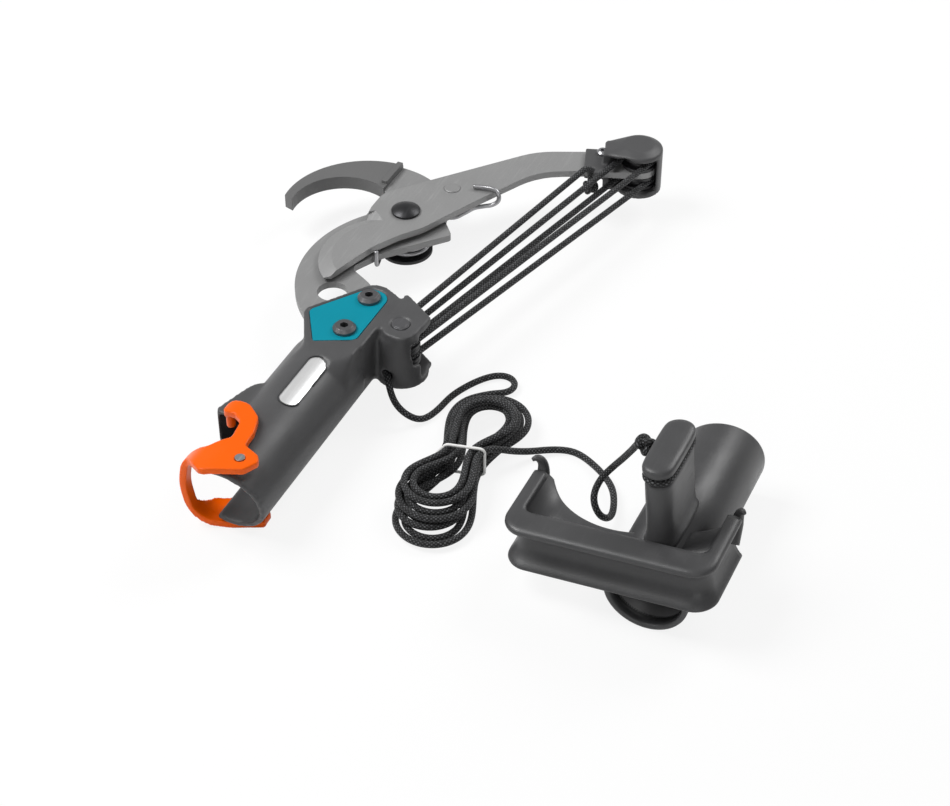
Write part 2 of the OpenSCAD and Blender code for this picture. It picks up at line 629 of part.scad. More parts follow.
// Pull rope: off the third lower wheel, out of the casing and over the table to the hank
lead_turn = fall_turn + 90 + 44;
lead_from = lift(axle_at + polar(wrap_r, lead_turn), low_z[2]);
lead_dir = lift(polar(1, lead_turn + 90), 0);
lead_pts = [lead_from + 3 * lead_dir, lead_from + 9 * lead_dir, lead_from + 15 * lead_dir + [0.6, 0, -1.4],
    [36, 88.6, -13], [43.6, 88.6, -19.6], [50.2, 92.6, rope_low], [54, 103.6, rope_low],
    [55.2, 118, rope_low], [60.4, 130, rope_low], [67.6, 139, rope_low], [76.1, 143.3, rope_low],
    [81.9, 141.4, rope_low + 0.5], [84.5, 137.4, rope_low + 0.9], [84.2, 132.3, rope_low + 1.3]];
module rope_lead() color("#222222") cord(concat(low_arc(2, lead_turn), smooth(lead_pts, 3),
    [hank_path[0] - 4 * hank_first, hank_path[0] - end_cut * hank_first]), rope_r, 8);

// Hank: one unbroken rope laid in loops that spiral in and out in four layers, each shorter than the
// one below it, drawn in at the waist
function hank_step_at(a) =
    let (f = a / 720, k = max(0, floor(f)))
    k % 2 == 0 ? 2 * (1 - (f - k)) : 2 * (f - k);
function hank_layer(a) = let (k = floor((a + 360) / 720), f = (a - 720 * k) / 100 + 0.5)
    max(0, min(3, k - 1 + ease(max(0, min(1, f)))));
function layer_cut(cuts, layer) = let (k = min(2, floor(layer)))
    cuts[k] + (cuts[k + 1] - cuts[k]) * (layer - k);
function ease(x) = x * x * (3 - 2 * x);
function hank_flat(a, o, near, far) =
    let (b = a - 360 * floor((a + 50) / 360), draw = fold_r - hank_waist, r = fold_r + o)
    b < 50 ? [-(hank_waist + o + draw * ease(abs(b) / 50)), -(b < 0 ? far : near) * b / 50]
    : b < 130 ? [-r * cos((b - 50) * 2.25), -near - r * sin((b - 50) * 2.25)]
    : b < 230 ? [hank_waist + o + draw * ease(abs(b - 180) / 50), (b < 180 ? near : far) * (b - 180) / 50]
    : [r * cos((b - 230) * 2.25), far + r * sin((b - 230) * 2.25)];
function hank_point(a) =
    let (layer = hank_layer(a),
        flat = hank_flat(a, hank_step_at(a) * hank_step, fold_u - layer_cut(near_cut, layer),
            fold_u - layer_cut(far_cut, layer)))
    lift(hank_at + turned(flat, hank_turn), hank_low + layer * hank_rise);
hank_turns = [for (a = [hank_from:15:hank_to]) a];
hank_mid = [for (a = hank_turns) hank_point(a)];
hank_first = unit(hank_mid[1] - hank_mid[0]);
hank_last = lift(turned([0, 1], hank_turn), 0);
hank_path = concat([hank_mid[0] - 4 * hank_first], hank_mid, [hank_mid[len(hank_mid) - 1] + 2 * hank_last]);
module rope_hank() color("#222222") cord(hank_path, rope_r, 6);

// White band tied round the hank's waist
tie_in = [hank_waist + 2 * hank_step + rope_r + 0.9, 3 * hank_rise + rope_d + 0.8];
module hank_tie() color("White") translate([hank_at[0], hank_at[1], hank_low - rope_r - 0.4])
    rotate(hank_turn) rotate([90, 0, 0]) translate([0, 0, -tie_w / 2]) linear_extrude(tie_w) difference() {
        polygon(rounded([[-tie_in[0] - tie_t, -tie_t, 4], [tie_in[0] + tie_t, -tie_t, 4],
            [tie_in[0] + tie_t, tie_in[1] + tie_t, 4], [-tie_in[0] - tie_t, tie_in[1] + tie_t, 4]]));
        polygon(rounded([[-tie_in[0], 0, 2.7], [tie_in[0], 0, 2.7],
            [tie_in[0], tie_in[1], 2.7], [-tie_in[0], tie_in[1], 2.7]]));
    }

// Rope from the hank over the table, in one small turn, up to the winder's neck
knot_at = winder_spot([1.5 - neck_r - rope_d - 0.5 - 5.3, 40, frame_post_z + neck_h / 2]);
tail_top = [184.4, 55.6, 39.6];
tail_z = hank_low + 3 * hank_rise + 0.2;
tail_pts = [[96.3, 74.2, tail_z], [98.2, 78.4, tail_z], [100.6, 82.6, tail_z - 0.2],
    [103.6, 86.8, tail_z - 1.6], [108, 91.4, tail_z - 5], [113.6, 96, tail_z - 10],
    [119.8, 99.6, rope_low + 1.2], [126.6, 102.2, rope_low], [134.4, 102, rope_low],
    [144, 97.4, rope_low], [154.6, 90.4, -21.4],
    [162.6, 82, -21.2], [167.4, 72, -21.8], [169, 62, -20.4], [166, 55.6, -14.4], [161.8, 58.6, -7.6],
    [162, 66.4, -2], [166.6, 70, 5.4], [172.4, 68, 15], [178.6, 63, 27], tail_top];
hank_end = hank_path[len(hank_path) - 1];
module rope_tail() color("#222222") cord(concat([hank_end + end_cut * hank_last, hank_end + 2 * hank_last],
    smooth(tail_pts, 3), [knot_at - 5.4 * unit(knot_at - tail_top)]), rope_r, 8);

module end_knot() color("#222222") translate(knot_at) sphere(r = 5.3);

// Rope round the neck under the winder's cap
module neck_loop() color("#222222") in_winder() translate([1.5, 35, frame_post_z + neck_h / 2]) {
    for (s = [-1, 1]) translate([0, s * 13, 0]) ring_part(loop_r, rope_r, s * 90 - 90, s * 90 + 90);
    for (s = [-1, 1]) translate([s * loop_r, 13, 0]) rotate([90, 0, 0]) cylinder(r = rope_r, h = 26);
}

// Orange latch: strap round the tube's open side, hinge plate with the finger hook, and a foot below
latch_top = [[-30, strap_front, 0], [-22, strap_front, 0], [-14, -31.5, 6], [-6.5, -35.8, 4],
    [13.3, -27.4, 3], [17.8, -19, 4], [14.6, -15, 4], [5.6, -11.2, 2], [4.9, -1, 8],
    [1.4, 9.8, 8], [-7.6, 16.8, 6], [-18.4, 17.2, 3.4], [-19.4, 8.4, 3.4], [-10.4, 6.8, 4],
    [-5.4, 3.6, 6], [-3.6, -8.9, 2], [-12, -17.4, 5],
    [-22, strap_back, 0], [-30, strap_back, 0]];
latch_foot = [[-30, strap_front, 0], [-22, strap_front, 0], [-12, -23.6, 8], [-1.4, -19.4, 6],
    [13.3, -12.4, 1.5], [12.7, -4.1, 1.5], [-7.5, -0.8, 6], [-17, -7, 6],
    [-22, strap_back, 0], [-30, strap_back, 0]];
module latch_lever() color("#ee6c00") difference() {
    union() {
        intersection() {
            translate([0, 30, 0]) rotate([90, 0, 0]) linear_extrude(80) difference() {
                latch_arch(latch_z, latch_bend + latch_t, 60);
                latch_arch(strap_r, latch_bend, 80);
            }
            union() {
                translate([0, 0, -2]) linear_extrude(60) polygon(rounded(latch_top));
                translate([0, 0, -60]) linear_extrude(60) polygon(rounded(latch_foot));
            }
        }
        translate([-16.4, 11.8, tab_low]) cylinder(r = 2.4, h = strap_r - tab_low + 1);
    }
    translate([latch_at[0], latch_at[1], 0]) cylinder(d = latch_pin_d + 2 * run_gap, h = 60);
}
module latch_arch(r, bend, long) {
    translate([bend - r, -r]) square([long, 2 * r]);
    translate([-r, bend - r]) square([long, 2 * (r - bend)]);
    for (s = [-1, 1]) translate([bend - r, s * (r - bend)]) circle(r = bend);
}

module latch_pin() color("Silver") translate([latch_at[0], latch_at[1], bore_r + 0.2])
    cylinder(d = latch_pin_d, h = latch_z - bore_r + 0.3);

// Winder: tube for the pole's foot, U-shaped frame with a rope groove, and an oval post
function winder_spot(p) = winder_at + [p[0] * cos(winder_roll) + p[2] * sin(winder_roll), p[1] - winder_at[1],
    -p[0] * sin(winder_roll) + p[2] * cos(winder_roll)];
module in_winder() translate([winder_at[0], 0, winder_at[2]]) rotate([0, winder_roll, 0]) children();

module u_outline(cut, side_cut) polygon(rounded([[frame_left + side_cut, arm_y, 2],
    [frame_left + side_cut, -1.5 + cut, 12 - side_cut], [frame_right - side_cut, -1.5 + cut, 12 - side_cut],
    [frame_right - side_cut, arm_y, 2],
    [frame_right - 7.4, arm_y, 1], [frame_right - 7.4, bar_y + 2, 4], [frame_left + 7.4, bar_y + 2, 4],
    [frame_left + 7.4, arm_y, 1]]));

module stadium(w, l) {
    square([w, l - w], center = true);
    for (s = [-1, 1]) translate([0, s * (l - w) / 2]) circle(d = w);
}

module winder_frame() color("#4c4c4c") in_winder() difference() {
    union() {
        difference() {
            along_y(winder_at[1], winder_at[1] + winder_len, tube_r);
            translate([-50, -50, 1.5]) cube([100, 50 + bar_y - 4, 60]);
        }
        linear_extrude(3) u_outline(0, 0);
        translate([0, 0, frame_h - 3.4]) linear_extrude(3.4) u_outline(0, 0);
        linear_extrude(frame_h) u_outline(7.5, 4);
        translate([0, 0, 14]) linear_extrude(3) difference() {
            translate([frame_left + 4, 8]) square([60, 43]);
            translate([-25, 69]) circle(r = 45);
        }
        translate([15, 8, 13]) cube([frame_right - 19, 14, 3]);
        translate([1.5, 35, tube_r - 6]) linear_extrude(frame_post_z - tube_r + 6) stadium(14, 40);
        translate([1.5, 35, frame_post_z - 1]) linear_extrude(neck_h + 1)
            stadium(2 * neck_r, 26 + 2 * neck_r);
        translate([frame_left + 4.6, arm_y + 2, 10]) cylinder(r = 4, h = 12);
        translate([frame_right - 3.7, arm_y + 2.5, 12]) sphere(r = 3.7);
    }
    along_y(bar_y + 2, 200, bore_r);
    difference() {
        along_y(-50, bar_y + 2.5, bore_r + 0.8);
        translate([-50, -60, 0]) cube([100, 100, 100]);
    }
}

module winder_cap() color("#3f3f40") in_winder() translate([1.5, 35, frame_post_z + neck_h + 0.02]) {
    linear_extrude(cap_t - 1.2) stadium(16, 42);
    translate([0, 0, cap_t - 1.2]) linear_extrude(1.2) stadium(14, 40);
}

echo(str("spring gap to itself ", self_gap(spring_coil, wire_d, 5)));
echo(str("hank gap to itself ", self_gap(hank_path, rope_d, 4)));

socket_body();
name_plate();
cover_plate();
cover_screws();
cover_nuts();
hook_plate();
hook_shoe();
pivot_bolt();
pivot_spacer();
spring_spool();
pivot_nut();
return_spring();
lever_blade();
lever_rivet();
lower_axle();
axle_clip();
lower_sheave_1();
lower_sheave_2();
lower_sheave_3();
block_housing();
block_axle();
block_screw();
block_nut();
upper_sheave_1();
upper_sheave_2();
rope_falls();
upper_wraps();
dead_end_knot();
rope_lead();
rope_hank();
hank_tie();
rope_tail();
end_knot();
neck_loop();
latch_lever();
latch_pin();
winder_frame();
winder_cap();
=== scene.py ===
# %% [markdown]
# # A rope-pulled pruner head, its rope and its winder
# The real tool sits on top of a long pole. Pulling the rope draws the upper pulley block towards the
# lower one, and the lever turns the blade past the hook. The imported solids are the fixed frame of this
# lesson: every piece below is put where they say and rides on one of their bodies. Lengths of pieces are
# written in millimetres, and a mesh gets them in metres.

# %% Load the frame
import json
import math
from functools import partial

import bmesh
import bpy
import numpy as np
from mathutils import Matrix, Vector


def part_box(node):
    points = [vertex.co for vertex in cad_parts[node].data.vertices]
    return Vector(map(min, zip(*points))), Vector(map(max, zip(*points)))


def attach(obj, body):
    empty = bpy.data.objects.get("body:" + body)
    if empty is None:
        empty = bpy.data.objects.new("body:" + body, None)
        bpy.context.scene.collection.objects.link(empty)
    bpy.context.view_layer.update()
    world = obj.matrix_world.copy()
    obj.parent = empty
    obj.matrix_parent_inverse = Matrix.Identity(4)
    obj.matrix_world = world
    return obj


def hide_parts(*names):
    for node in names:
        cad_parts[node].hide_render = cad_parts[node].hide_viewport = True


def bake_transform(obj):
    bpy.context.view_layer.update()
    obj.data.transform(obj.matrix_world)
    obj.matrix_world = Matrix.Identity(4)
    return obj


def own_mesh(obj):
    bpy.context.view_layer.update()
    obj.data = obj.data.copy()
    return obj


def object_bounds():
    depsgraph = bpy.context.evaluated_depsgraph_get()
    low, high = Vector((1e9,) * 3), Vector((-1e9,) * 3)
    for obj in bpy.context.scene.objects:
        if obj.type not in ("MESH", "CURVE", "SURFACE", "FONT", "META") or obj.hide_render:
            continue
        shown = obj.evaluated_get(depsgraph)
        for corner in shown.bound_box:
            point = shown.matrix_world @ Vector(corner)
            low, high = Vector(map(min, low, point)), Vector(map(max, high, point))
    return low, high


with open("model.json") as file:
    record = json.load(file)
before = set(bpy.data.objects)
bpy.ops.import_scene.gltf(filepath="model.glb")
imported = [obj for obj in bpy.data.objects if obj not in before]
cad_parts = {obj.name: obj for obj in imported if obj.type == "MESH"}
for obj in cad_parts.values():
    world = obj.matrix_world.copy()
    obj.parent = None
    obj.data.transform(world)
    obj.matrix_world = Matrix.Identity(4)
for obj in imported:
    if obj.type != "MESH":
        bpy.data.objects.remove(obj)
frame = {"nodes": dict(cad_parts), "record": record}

nodes = frame["nodes"]
cad_box = [list(corner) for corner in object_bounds()]
MM = 0.001

# %% [markdown]
# ## Camera
# The tool lies on a table and is seen from the front, a little from the right and from well above.
# A long lens keeps the far pulley block nearly as large as the near latch.

# %% Camera
VIEW_TURN = math.radians(24.6)
VIEW_RISE = math.radians(40.3)
EYE = (0.4279, -0.6652, 0.7059)
LENS = 80.0
SENSOR = 36.0

camera = bpy.data.objects.new("camera", bpy.data.cameras.new("camera"))
camera.data.lens = LENS
camera.data.sensor_width = SENSOR
camera.location = EYE
camera.rotation_euler = (math.pi / 2 - VIEW_RISE, 0.0, VIEW_TURN)
bpy.context.scene.collection.objects.link(camera)
bpy.context.scene.camera = camera
bpy.context.scene.view_settings.view_transform = "Standard"
print("camera at", EYE)

# %% [markdown]
# ## Surfaces from arrays
# Every new piece is a grid of points: one index runs along a line, the other round it. The whole grid is
# one array, so the formula of a shape is one expression, and only the finished mesh goes into Blender.


# %% Mesh helpers
def unit(vectors):
    """Vectors of the same direction and length one."""
    return vectors / np.linalg.norm(vectors, axis=-1, keepdims=True)


def raised(plan, height):
    """Points of a plan, all at one height."""
    return np.column_stack([plan, np.full(len(plan), height)])


def grid_faces(rows, columns):
    """Quads between neighbouring rows and columns of a grid, the last column joined to the first."""
    here = np.arange(columns)
    beside = (here + 1) % columns
    row = np.arange(rows - 1)[:, None] * columns
    quads = [row + here, row + beside, row + beside + columns, row + here + columns]
    return np.stack(quads, axis=-1).reshape(-1, 4)


def end_caps(rows, columns):
    """The two faces that close the first and the last row of a grid."""
    last = (rows - 1) * columns
    return [list(range(columns - 1, -1, -1)), list(range(last, last + columns))]


def lay_mesh(name, points, faces, caps=(), uv=None):
    """A smooth mesh object from points in millimetres, quads, closing faces and a map for the quads."""
    mesh = bpy.data.meshes.new(name)
    places = np.asarray(points).reshape(-1, 3) * MM
    mesh.from_pydata(places.tolist(), [], faces.tolist() + list(caps))
    if uv is not None:
        layer = mesh.uv_layers.new(name="rope")
        flat = np.zeros((len(mesh.loops), 2), np.float32)
        flat[: len(uv)] = uv
        layer.data.foreach_set("uv", flat.ravel())
    mesh.polygons.foreach_set("use_smooth", np.ones(len(mesh.polygons), bool))
    mesh.update()
    made = bpy.data.objects.new(name, mesh)
    bpy.context.scene.collection.objects.link(made)
    return made


# %% [markdown]
# ## Stage
# The tool is shown on white with a faint shadow. Many lamps could make a backdrop that white, but they would
# wash out the tool. So the floor and the sky answer the camera with plain white, answer mirrors with a share
# of it, and light the tool at a lower level.


# %% Node helpers
def feed(tree, value, target):
    """Links a socket to an input, or sets the input to a number."""
    if isinstance(value, (int, float)):
        target.default_value = value
    else:
        tree.links.new(value, target)


def math_node(tree, operation, first, second=None, clamp=False):
    """A math node whose inputs are sockets or numbers; gives its output."""
    made = tree.nodes.new("ShaderNodeMath")
    made.operation = operation
    made.use_clamp = clamp
    feed(tree, first, made.inputs[0])
    if second is not None:
        feed(tree, second, made.inputs[1])
    return made.outputs[0]


# %% Floor and sky
FLOOR_Z = cad_box[0][2]
FLOOR_HALF = 4.0
FLOOR_GAP = 0.05
PAPER_WHITE = (0.9, 0.9, 0.9, 1.0)
PAPER_GLOW = 0.86
MIRROR_SHARE = 0.45
SKY_LIGHT = 0.24


def empty_tree(owner):
    """The node tree of a material or a sky, with nothing in it."""
    owner.use_nodes = True
    owner.node_tree.nodes.clear()
    return owner.node_tree


def seen_directly(tree):
    """One for rays from the camera and through glass, a share for mirrors, and zero for diffuse light."""
    path = tree.nodes.new("ShaderNodeLightPath")
    mirrored = math_node(tree, "MULTIPLY", path.outputs["Is Glossy Ray"], MIRROR_SHARE)
    seen = math_node(tree, "MAXIMUM", path.outputs["Is Camera Ray"], mirrored)
    return math_node(tree, "MAXIMUM", seen, path.outputs["Is Transmission Ray"])


def paper_floor():
    """White paper: mostly plain white to the camera, with a share of diffuse light that keeps the shadow."""
    paper = bpy.data.materials.new("paper_floor")
    tree = empty_tree(paper)
    add, link = tree.nodes.new, tree.links.new
    out = add("ShaderNodeOutputMaterial")
    matte = add("ShaderNodeBsdfDiffuse")
    matte.inputs["Color"].default_value = PAPER_WHITE
    glow = add("ShaderNodeEmission")
    mix = add("ShaderNodeMixShader")
    link(math_node(tree, "MULTIPLY", seen_directly(tree), PAPER_GLOW), mix.inputs["Fac"])
    link(matte.outputs[0], mix.inputs[1])
    link(glow.outputs[0], mix.inputs[2])
    link(mix.outputs[0], out.inputs["Surface"])
    return paper


def white_sky():
    """A sky that looks white and lights the tool with a lower strength."""
    world = bpy.data.worlds.new("white_sky")
    tree = empty_tree(world)
    add, link = tree.nodes.new, tree.links.new
    out = add("ShaderNodeOutputWorld")
    back = add("ShaderNodeBackground")
    level = add("ShaderNodeMapRange")
    level.inputs["To Min"].default_value = SKY_LIGHT
    link(seen_directly(tree), level.inputs["Value"])
    link(level.outputs[0], back.inputs["Strength"])
    link(back.outputs[0], out.inputs["Surface"])
    return world


corners = np.array([[-1, -1], [1, -1], [1, 1], [-1, 1]]) * FLOOR_HALF / MM
floor = lay_mesh("paper_floor", raised(corners, FLOOR_Z / MM - FLOOR_GAP), np.array([[0, 1, 2, 3]]))
floor.data.materials.append(paper_floor())
bpy.context.scene.world = white_sky()
print("floor at", round(FLOOR_Z, 4))

# %% Lamps
AIM = np.array([0.09, 0.12, 0.0])


def soft_lamp(name, place, size, power):
    """A square soft box at a place, turned towards the tool."""
    lamp = bpy.data.objects.new(name, bpy.data.lights.new(name, "AREA"))
    lamp.data.size = size
    lamp.data.energy = power
    away = unit(np.asarray(place) - AIM)
    lamp.location = place
    lamp.rotation_euler = (math.acos(away[2]), 0.0, math.atan2(away[0], -away[1]))
    bpy.context.scene.collection.objects.link(lamp)


soft_lamp("key_lamp", place=(-0.75, -0.15, 1.25), size=0.7, power=20.0)
soft_lamp("front_lamp", place=(0.55, -1.1, 0.75), size=0.8, power=3.0)
soft_lamp("back_lamp", place=(0.5, 1.0, 0.9), size=0.6, power=7.0)
print("lamps aimed at", AIM)

# %% [markdown]
# ## Shared effects
# Moulded plastic, coated steel and plated steel differ in scale more than in kind: each has a fine grain,
# a slow mottling and scuffs. Painted pictures would show their seams, so one node group makes all three from
# Object coordinates, and each material sets its own values. A second group draws the braid of the rope from
# the rope's own UV map.

# %% Grain group
USUAL_GRAIN = {"Roughness": 0.5, "Grain scale": 2500.0, "Mottle": 0.1, "Speckle": 0.1, "Scuff": 0.1}
USUAL_COLOUR = (0.1, 0.1, 0.1, 1.0)
MOTTLE_SCALE = 55.0
NOISE_MIDDLE = 0.5
SCUFF_STRETCH = (900.0, 60.0, 400.0)
SCUFF_TURN = (0.3, 0.2, 0.5)
SCUFF_FROM, SCUFF_GAIN = 0.56, 5.0
SCUFF_PALER, SCUFF_ROUGHER, MOTTLE_ROUGHER = 0.6, 0.5, 0.8


def group_socket(tree, name, way, kind="NodeSocketFloat", value=None):
    """One named input or output of a node group."""
    made = tree.interface.new_socket(name=name, in_out=way, socket_type=kind)
    if value is not None:
        made.default_value = value


def set_inputs(node, values):
    """Sets several inputs of a node by their names."""
    for name, value in values.items():
        node.inputs[name].default_value = value


def noise_node(tree, coordinates, scale, detail):
    """Noise of a given scale on some coordinates; gives its value."""
    made = tree.nodes.new("ShaderNodeTexNoise")
    made.inputs["Detail"].default_value = detail
    feed(tree, scale, made.inputs["Scale"])
    tree.links.new(coordinates, made.inputs["Vector"])
    return made.outputs["Fac"]


def surface_grain():
    """Grain, mottling and scuffs over a colour, from Object coordinates.

    Fine noise gives the height and speckles the colour. Slow noise and long thin noise, for the scuffs,
    change both colour and roughness.
    """
    tree = bpy.data.node_groups.new("surface_grain", "ShaderNodeTree")
    add, link = tree.nodes.new, tree.links.new
    group_socket(tree, "Colour", "INPUT", "NodeSocketColor", USUAL_COLOUR)
    for name, value in USUAL_GRAIN.items():
        group_socket(tree, name, "INPUT", value=value)
    group_socket(tree, "Colour", "OUTPUT", "NodeSocketColor")
    group_socket(tree, "Roughness", "OUTPUT")
    group_socket(tree, "Height", "OUTPUT")
    given = add("NodeGroupInput")
    out = add("NodeGroupOutput")
    place = add("ShaderNodeTexCoord").outputs["Object"]
    maths = partial(math_node, tree)
    fine = noise_node(tree, place, given.outputs["Grain scale"], detail=3.0)
    slow = noise_node(tree, place, MOTTLE_SCALE, detail=4.0)
    stretch = add("ShaderNodeMapping")
    set_inputs(stretch, {"Scale": SCUFF_STRETCH, "Rotation": SCUFF_TURN})
    link(place, stretch.inputs["Vector"])
    long = noise_node(tree, stretch.outputs[0], 1.0, detail=3.0)
    scuffed = maths("MULTIPLY", maths("SUBTRACT", long, SCUFF_FROM), SCUFF_GAIN, clamp=True)
    lift = maths("MULTIPLY", maths("SUBTRACT", slow, NOISE_MIDDLE), given.outputs["Mottle"])
    spots = maths("MULTIPLY", maths("SUBTRACT", fine, NOISE_MIDDLE), given.outputs["Speckle"])
    worn = maths("MULTIPLY", scuffed, given.outputs["Scuff"])
    level = maths("ADD", maths("ADD", lift, spots), 1.0)
    level = maths("ADD", level, maths("MULTIPLY", worn, SCUFF_PALER))
    scale = add("ShaderNodeVectorMath")
    scale.operation = "SCALE"
    link(given.outputs["Colour"], scale.inputs[0])
    link(level, scale.inputs["Scale"])
    link(scale.outputs[0], out.inputs["Colour"])
    rough = maths("ADD", given.outputs["Roughness"], maths("MULTIPLY", lift, MOTTLE_ROUGHER))
    rough = maths("ADD", rough, maths("MULTIPLY", worn, SCUFF_ROUGHER), clamp=True)
    link(rough, out.inputs["Roughness"])
    link(fine, out.inputs["Height"])
    return tree


GRAIN = surface_grain()
print("group:", GRAIN.name)

# %% Braid group
PLAIT_LENGTH, PLAITS_ROUND = 2.1, 6.0
GLINT_FROM, GLINT_GAIN, GLINT_LEAST = 0.35, 1.9, 0.2


def rope_braid():
    """Plaits of a braided rope from its UV map: u runs along it in millimetres, v once round it.

    Two families of diagonal lines cross. Each diamond between them is one plait that swells to its middle.
    Pale glints painted on the tops of some plaits, chosen at random, stand for their highlight.
    """
    tree = bpy.data.node_groups.new("rope_braid", "ShaderNodeTree")
    add, link = tree.nodes.new, tree.links.new
    group_socket(tree, "Plait length", "INPUT", value=PLAIT_LENGTH)
    group_socket(tree, "Plaits round", "INPUT", value=PLAITS_ROUND)
    group_socket(tree, "Swell", "OUTPUT")
    group_socket(tree, "Painted glint", "OUTPUT")
    given = add("NodeGroupInput")
    out = add("NodeGroupOutput")
    laid = add("ShaderNodeUVMap")
    laid.uv_map = "rope"
    split = add("ShaderNodeSeparateXYZ")
    link(laid.outputs[0], split.inputs[0])
    maths = partial(math_node, tree)
    along = maths("DIVIDE", split.outputs["X"], given.outputs["Plait length"])
    round_it = maths("MULTIPLY", split.outputs["Y"], given.outputs["Plaits round"])
    families = [maths("ADD", along, round_it), maths("SUBTRACT", along, round_it)]
    waves = [maths("ABSOLUTE", maths("SINE", maths("MULTIPLY", family, math.pi))) for family in families]
    swell = maths("MULTIPLY", *waves)
    link(swell, out.inputs["Swell"])
    cell = add("ShaderNodeCombineXYZ")
    for axis, family in zip("XY", families):
        link(maths("FLOOR", family), cell.inputs[axis])
    chance = add("ShaderNodeTexWhiteNoise")
    chance.noise_dimensions = "2D"
    link(cell.outputs[0], chance.inputs["Vector"])
    # Painted highlight: pale on the top of each plait, stronger on some plaits at random
    top = maths("MULTIPLY", maths("SUBTRACT", swell, GLINT_FROM), GLINT_GAIN, clamp=True)
    lit = maths("ADD", maths("MULTIPLY", chance.outputs["Value"], 1 - GLINT_LEAST), GLINT_LEAST)
    link(maths("MULTIPLY", top, lit), out.inputs["Painted glint"])
    return tree


BRAID = rope_braid()
print("group:", BRAID.name)

# %% [markdown]
# ## Finishes
# Colours are written as they look in plain light. Moulded plastic is satin with a soft coat of grain, the
# plates have a fine grey coating, and plated steel is bright with a slight brushing. Each could be built by
# itself, but one function with a few values keeps them alike where the real ones are alike.

# %% Finish helpers
EDGE_SAMPLES = 4
GRAIN_DEPTH_MM = 0.2
FINISHES = {}


def colour(code):
    """Linear colour from a written one such as 4c4c4c, by the usual curve of a screen."""
    shares = np.array([int(code[k : k + 2], 16) for k in (0, 2, 4)]) / 255.0
    shares = np.where(shares <= 0.04045, shares / 12.92, ((shares + 0.055) / 1.055) ** 2.4)
    return (*shares.tolist(), 1.0)


def shader_and_group(name, group_tree):
    """A new material, its shader, and a node group placed beside the shader."""
    made = bpy.data.materials.new(name)
    made.use_nodes = True
    group = made.node_tree.nodes.new("ShaderNodeGroup")
    group.node_tree = group_tree
    return made, made.node_tree.nodes["Principled BSDF"], group


def add_bump(tree, height, strength, depth_mm):
    """A bump that takes a height and feeds the shader's normal; gives the bump node."""
    bump = tree.nodes.new("ShaderNodeBump")
    set_inputs(bump, {"Strength": strength, "Distance": depth_mm * MM})
    tree.links.new(height, bump.inputs["Height"])
    tree.links.new(bump.outputs[0], tree.nodes["Principled BSDF"].inputs["Normal"])
    return bump


def finish(
    name, code, rough, metal=0.0, grain=2500.0, depth=0.05,
    mottle=0.1, speckle=0.1, scuff=0.1, shine=0.5, round_mm=0.5,
):
    """A procedural finish: the grain group over a colour, with edges rounded a little in the light."""
    made, shader, group = shader_and_group(name, GRAIN)
    tree = made.node_tree
    set_inputs(shader, {"Metallic": metal, "Specular IOR Level": shine})
    set_inputs(group, {"Colour": colour(code), "Roughness": rough, "Grain scale": grain})
    set_inputs(group, {"Mottle": mottle, "Speckle": speckle, "Scuff": scuff})
    tree.links.new(group.outputs["Colour"], shader.inputs["Base Color"])
    tree.links.new(group.outputs["Roughness"], shader.inputs["Roughness"])
    edge = tree.nodes.new("ShaderNodeBevel")
    edge.samples = EDGE_SAMPLES
    edge.inputs["Radius"].default_value = round_mm * MM
    bump = add_bump(tree, group.outputs["Height"], depth, GRAIN_DEPTH_MM)
    tree.links.new(edge.outputs[0], bump.inputs["Normal"])
    FINISHES[name] = made
    return made


def rope_finish():
    """Black braided rope: dark between the plaits, with a painted highlight of pale flecks on the plaits'
    tops where their threads catch the light.
    """
    made, shader, group = shader_and_group("black_braid", BRAID)
    tree = made.node_tree
    set_inputs(shader, {"Roughness": 0.6, "Specular IOR Level": 0.25})
    set_inputs(shader, {"Sheen Weight": 0.1, "Sheen Roughness": 0.5})
    set_inputs(group, {"Plait length": PLAIT_LENGTH, "Plaits round": PLAITS_ROUND})
    mix = tree.nodes.new("ShaderNodeMix")
    mix.data_type = "RGBA"
    # The pale second colour is a painted highlight on the tops of the plaits
    set_inputs(mix, {"A": colour("0c0c0d"), "B": colour("68696b")})
    tree.links.new(group.outputs["Painted glint"], mix.inputs["Factor"])
    tree.links.new(mix.outputs["Result"], shader.inputs["Base Color"])
    add_bump(tree, group.outputs["Swell"], strength=0.7, depth_mm=0.35)
    return made


# %% Finishes
finish("dark_plastic", "4a4a4b", 0.4, grain=1800.0, depth=0.3, mottle=0.3, shine=0.35, round_mm=1.2)
finish(
    "winder_plastic", "424243", 0.36, grain=1800.0, depth=0.25,
    mottle=0.35, scuff=0.2, shine=0.4, round_mm=1.2,
)
finish("badge_metal", "dcdcdc", 0.35, metal=0.6, grain=900.0, round_mm=0.3)
finish("turquoise_paint", "008497", 0.45, grain=2600.0, depth=0.1, shine=0.15)
finish("coated_steel", "8c8c8c", 0.48, metal=0.3, grain=4200.0, depth=0.3, speckle=0.5, scuff=0.2)
finish("blade_steel", "929292", 0.44, metal=0.35, grain=4200.0, depth=0.3, speckle=0.5, scuff=0.25)
finish("shoe_coating", "646464", 0.5, metal=0.1, grain=3200.0, depth=0.3, speckle=0.4)
finish("black_steel", "2e2e30", 0.35, metal=0.6, scuff=0.3)
finish("black_plastic", "2a2a2c", 0.45, grain=2200.0, mottle=0.2)
finish("orange_plastic", "ee5e00", 0.3, grain=2200.0, depth=0.06, mottle=0.08, scuff=0.05, shine=0.2)
finish("white_tie", "f0f0ee", 0.4, grain=1500.0, mottle=0.05)
FINISHES["black_rope"] = rope_finish()
finish("sheave_plastic", "242426", 0.4, grain=2000.0)
finish("bright_steel", "a4a4a6", 0.3, metal=0.9, grain=1500.0, speckle=0.08, scuff=0.25, round_mm=0.25)
dark_steel = finish("dark_steel", "6c6c6e", 0.34, metal=0.85, grain=1500.0, scuff=0.25, round_mm=0.3)
print("finishes:", len(FINISHES))


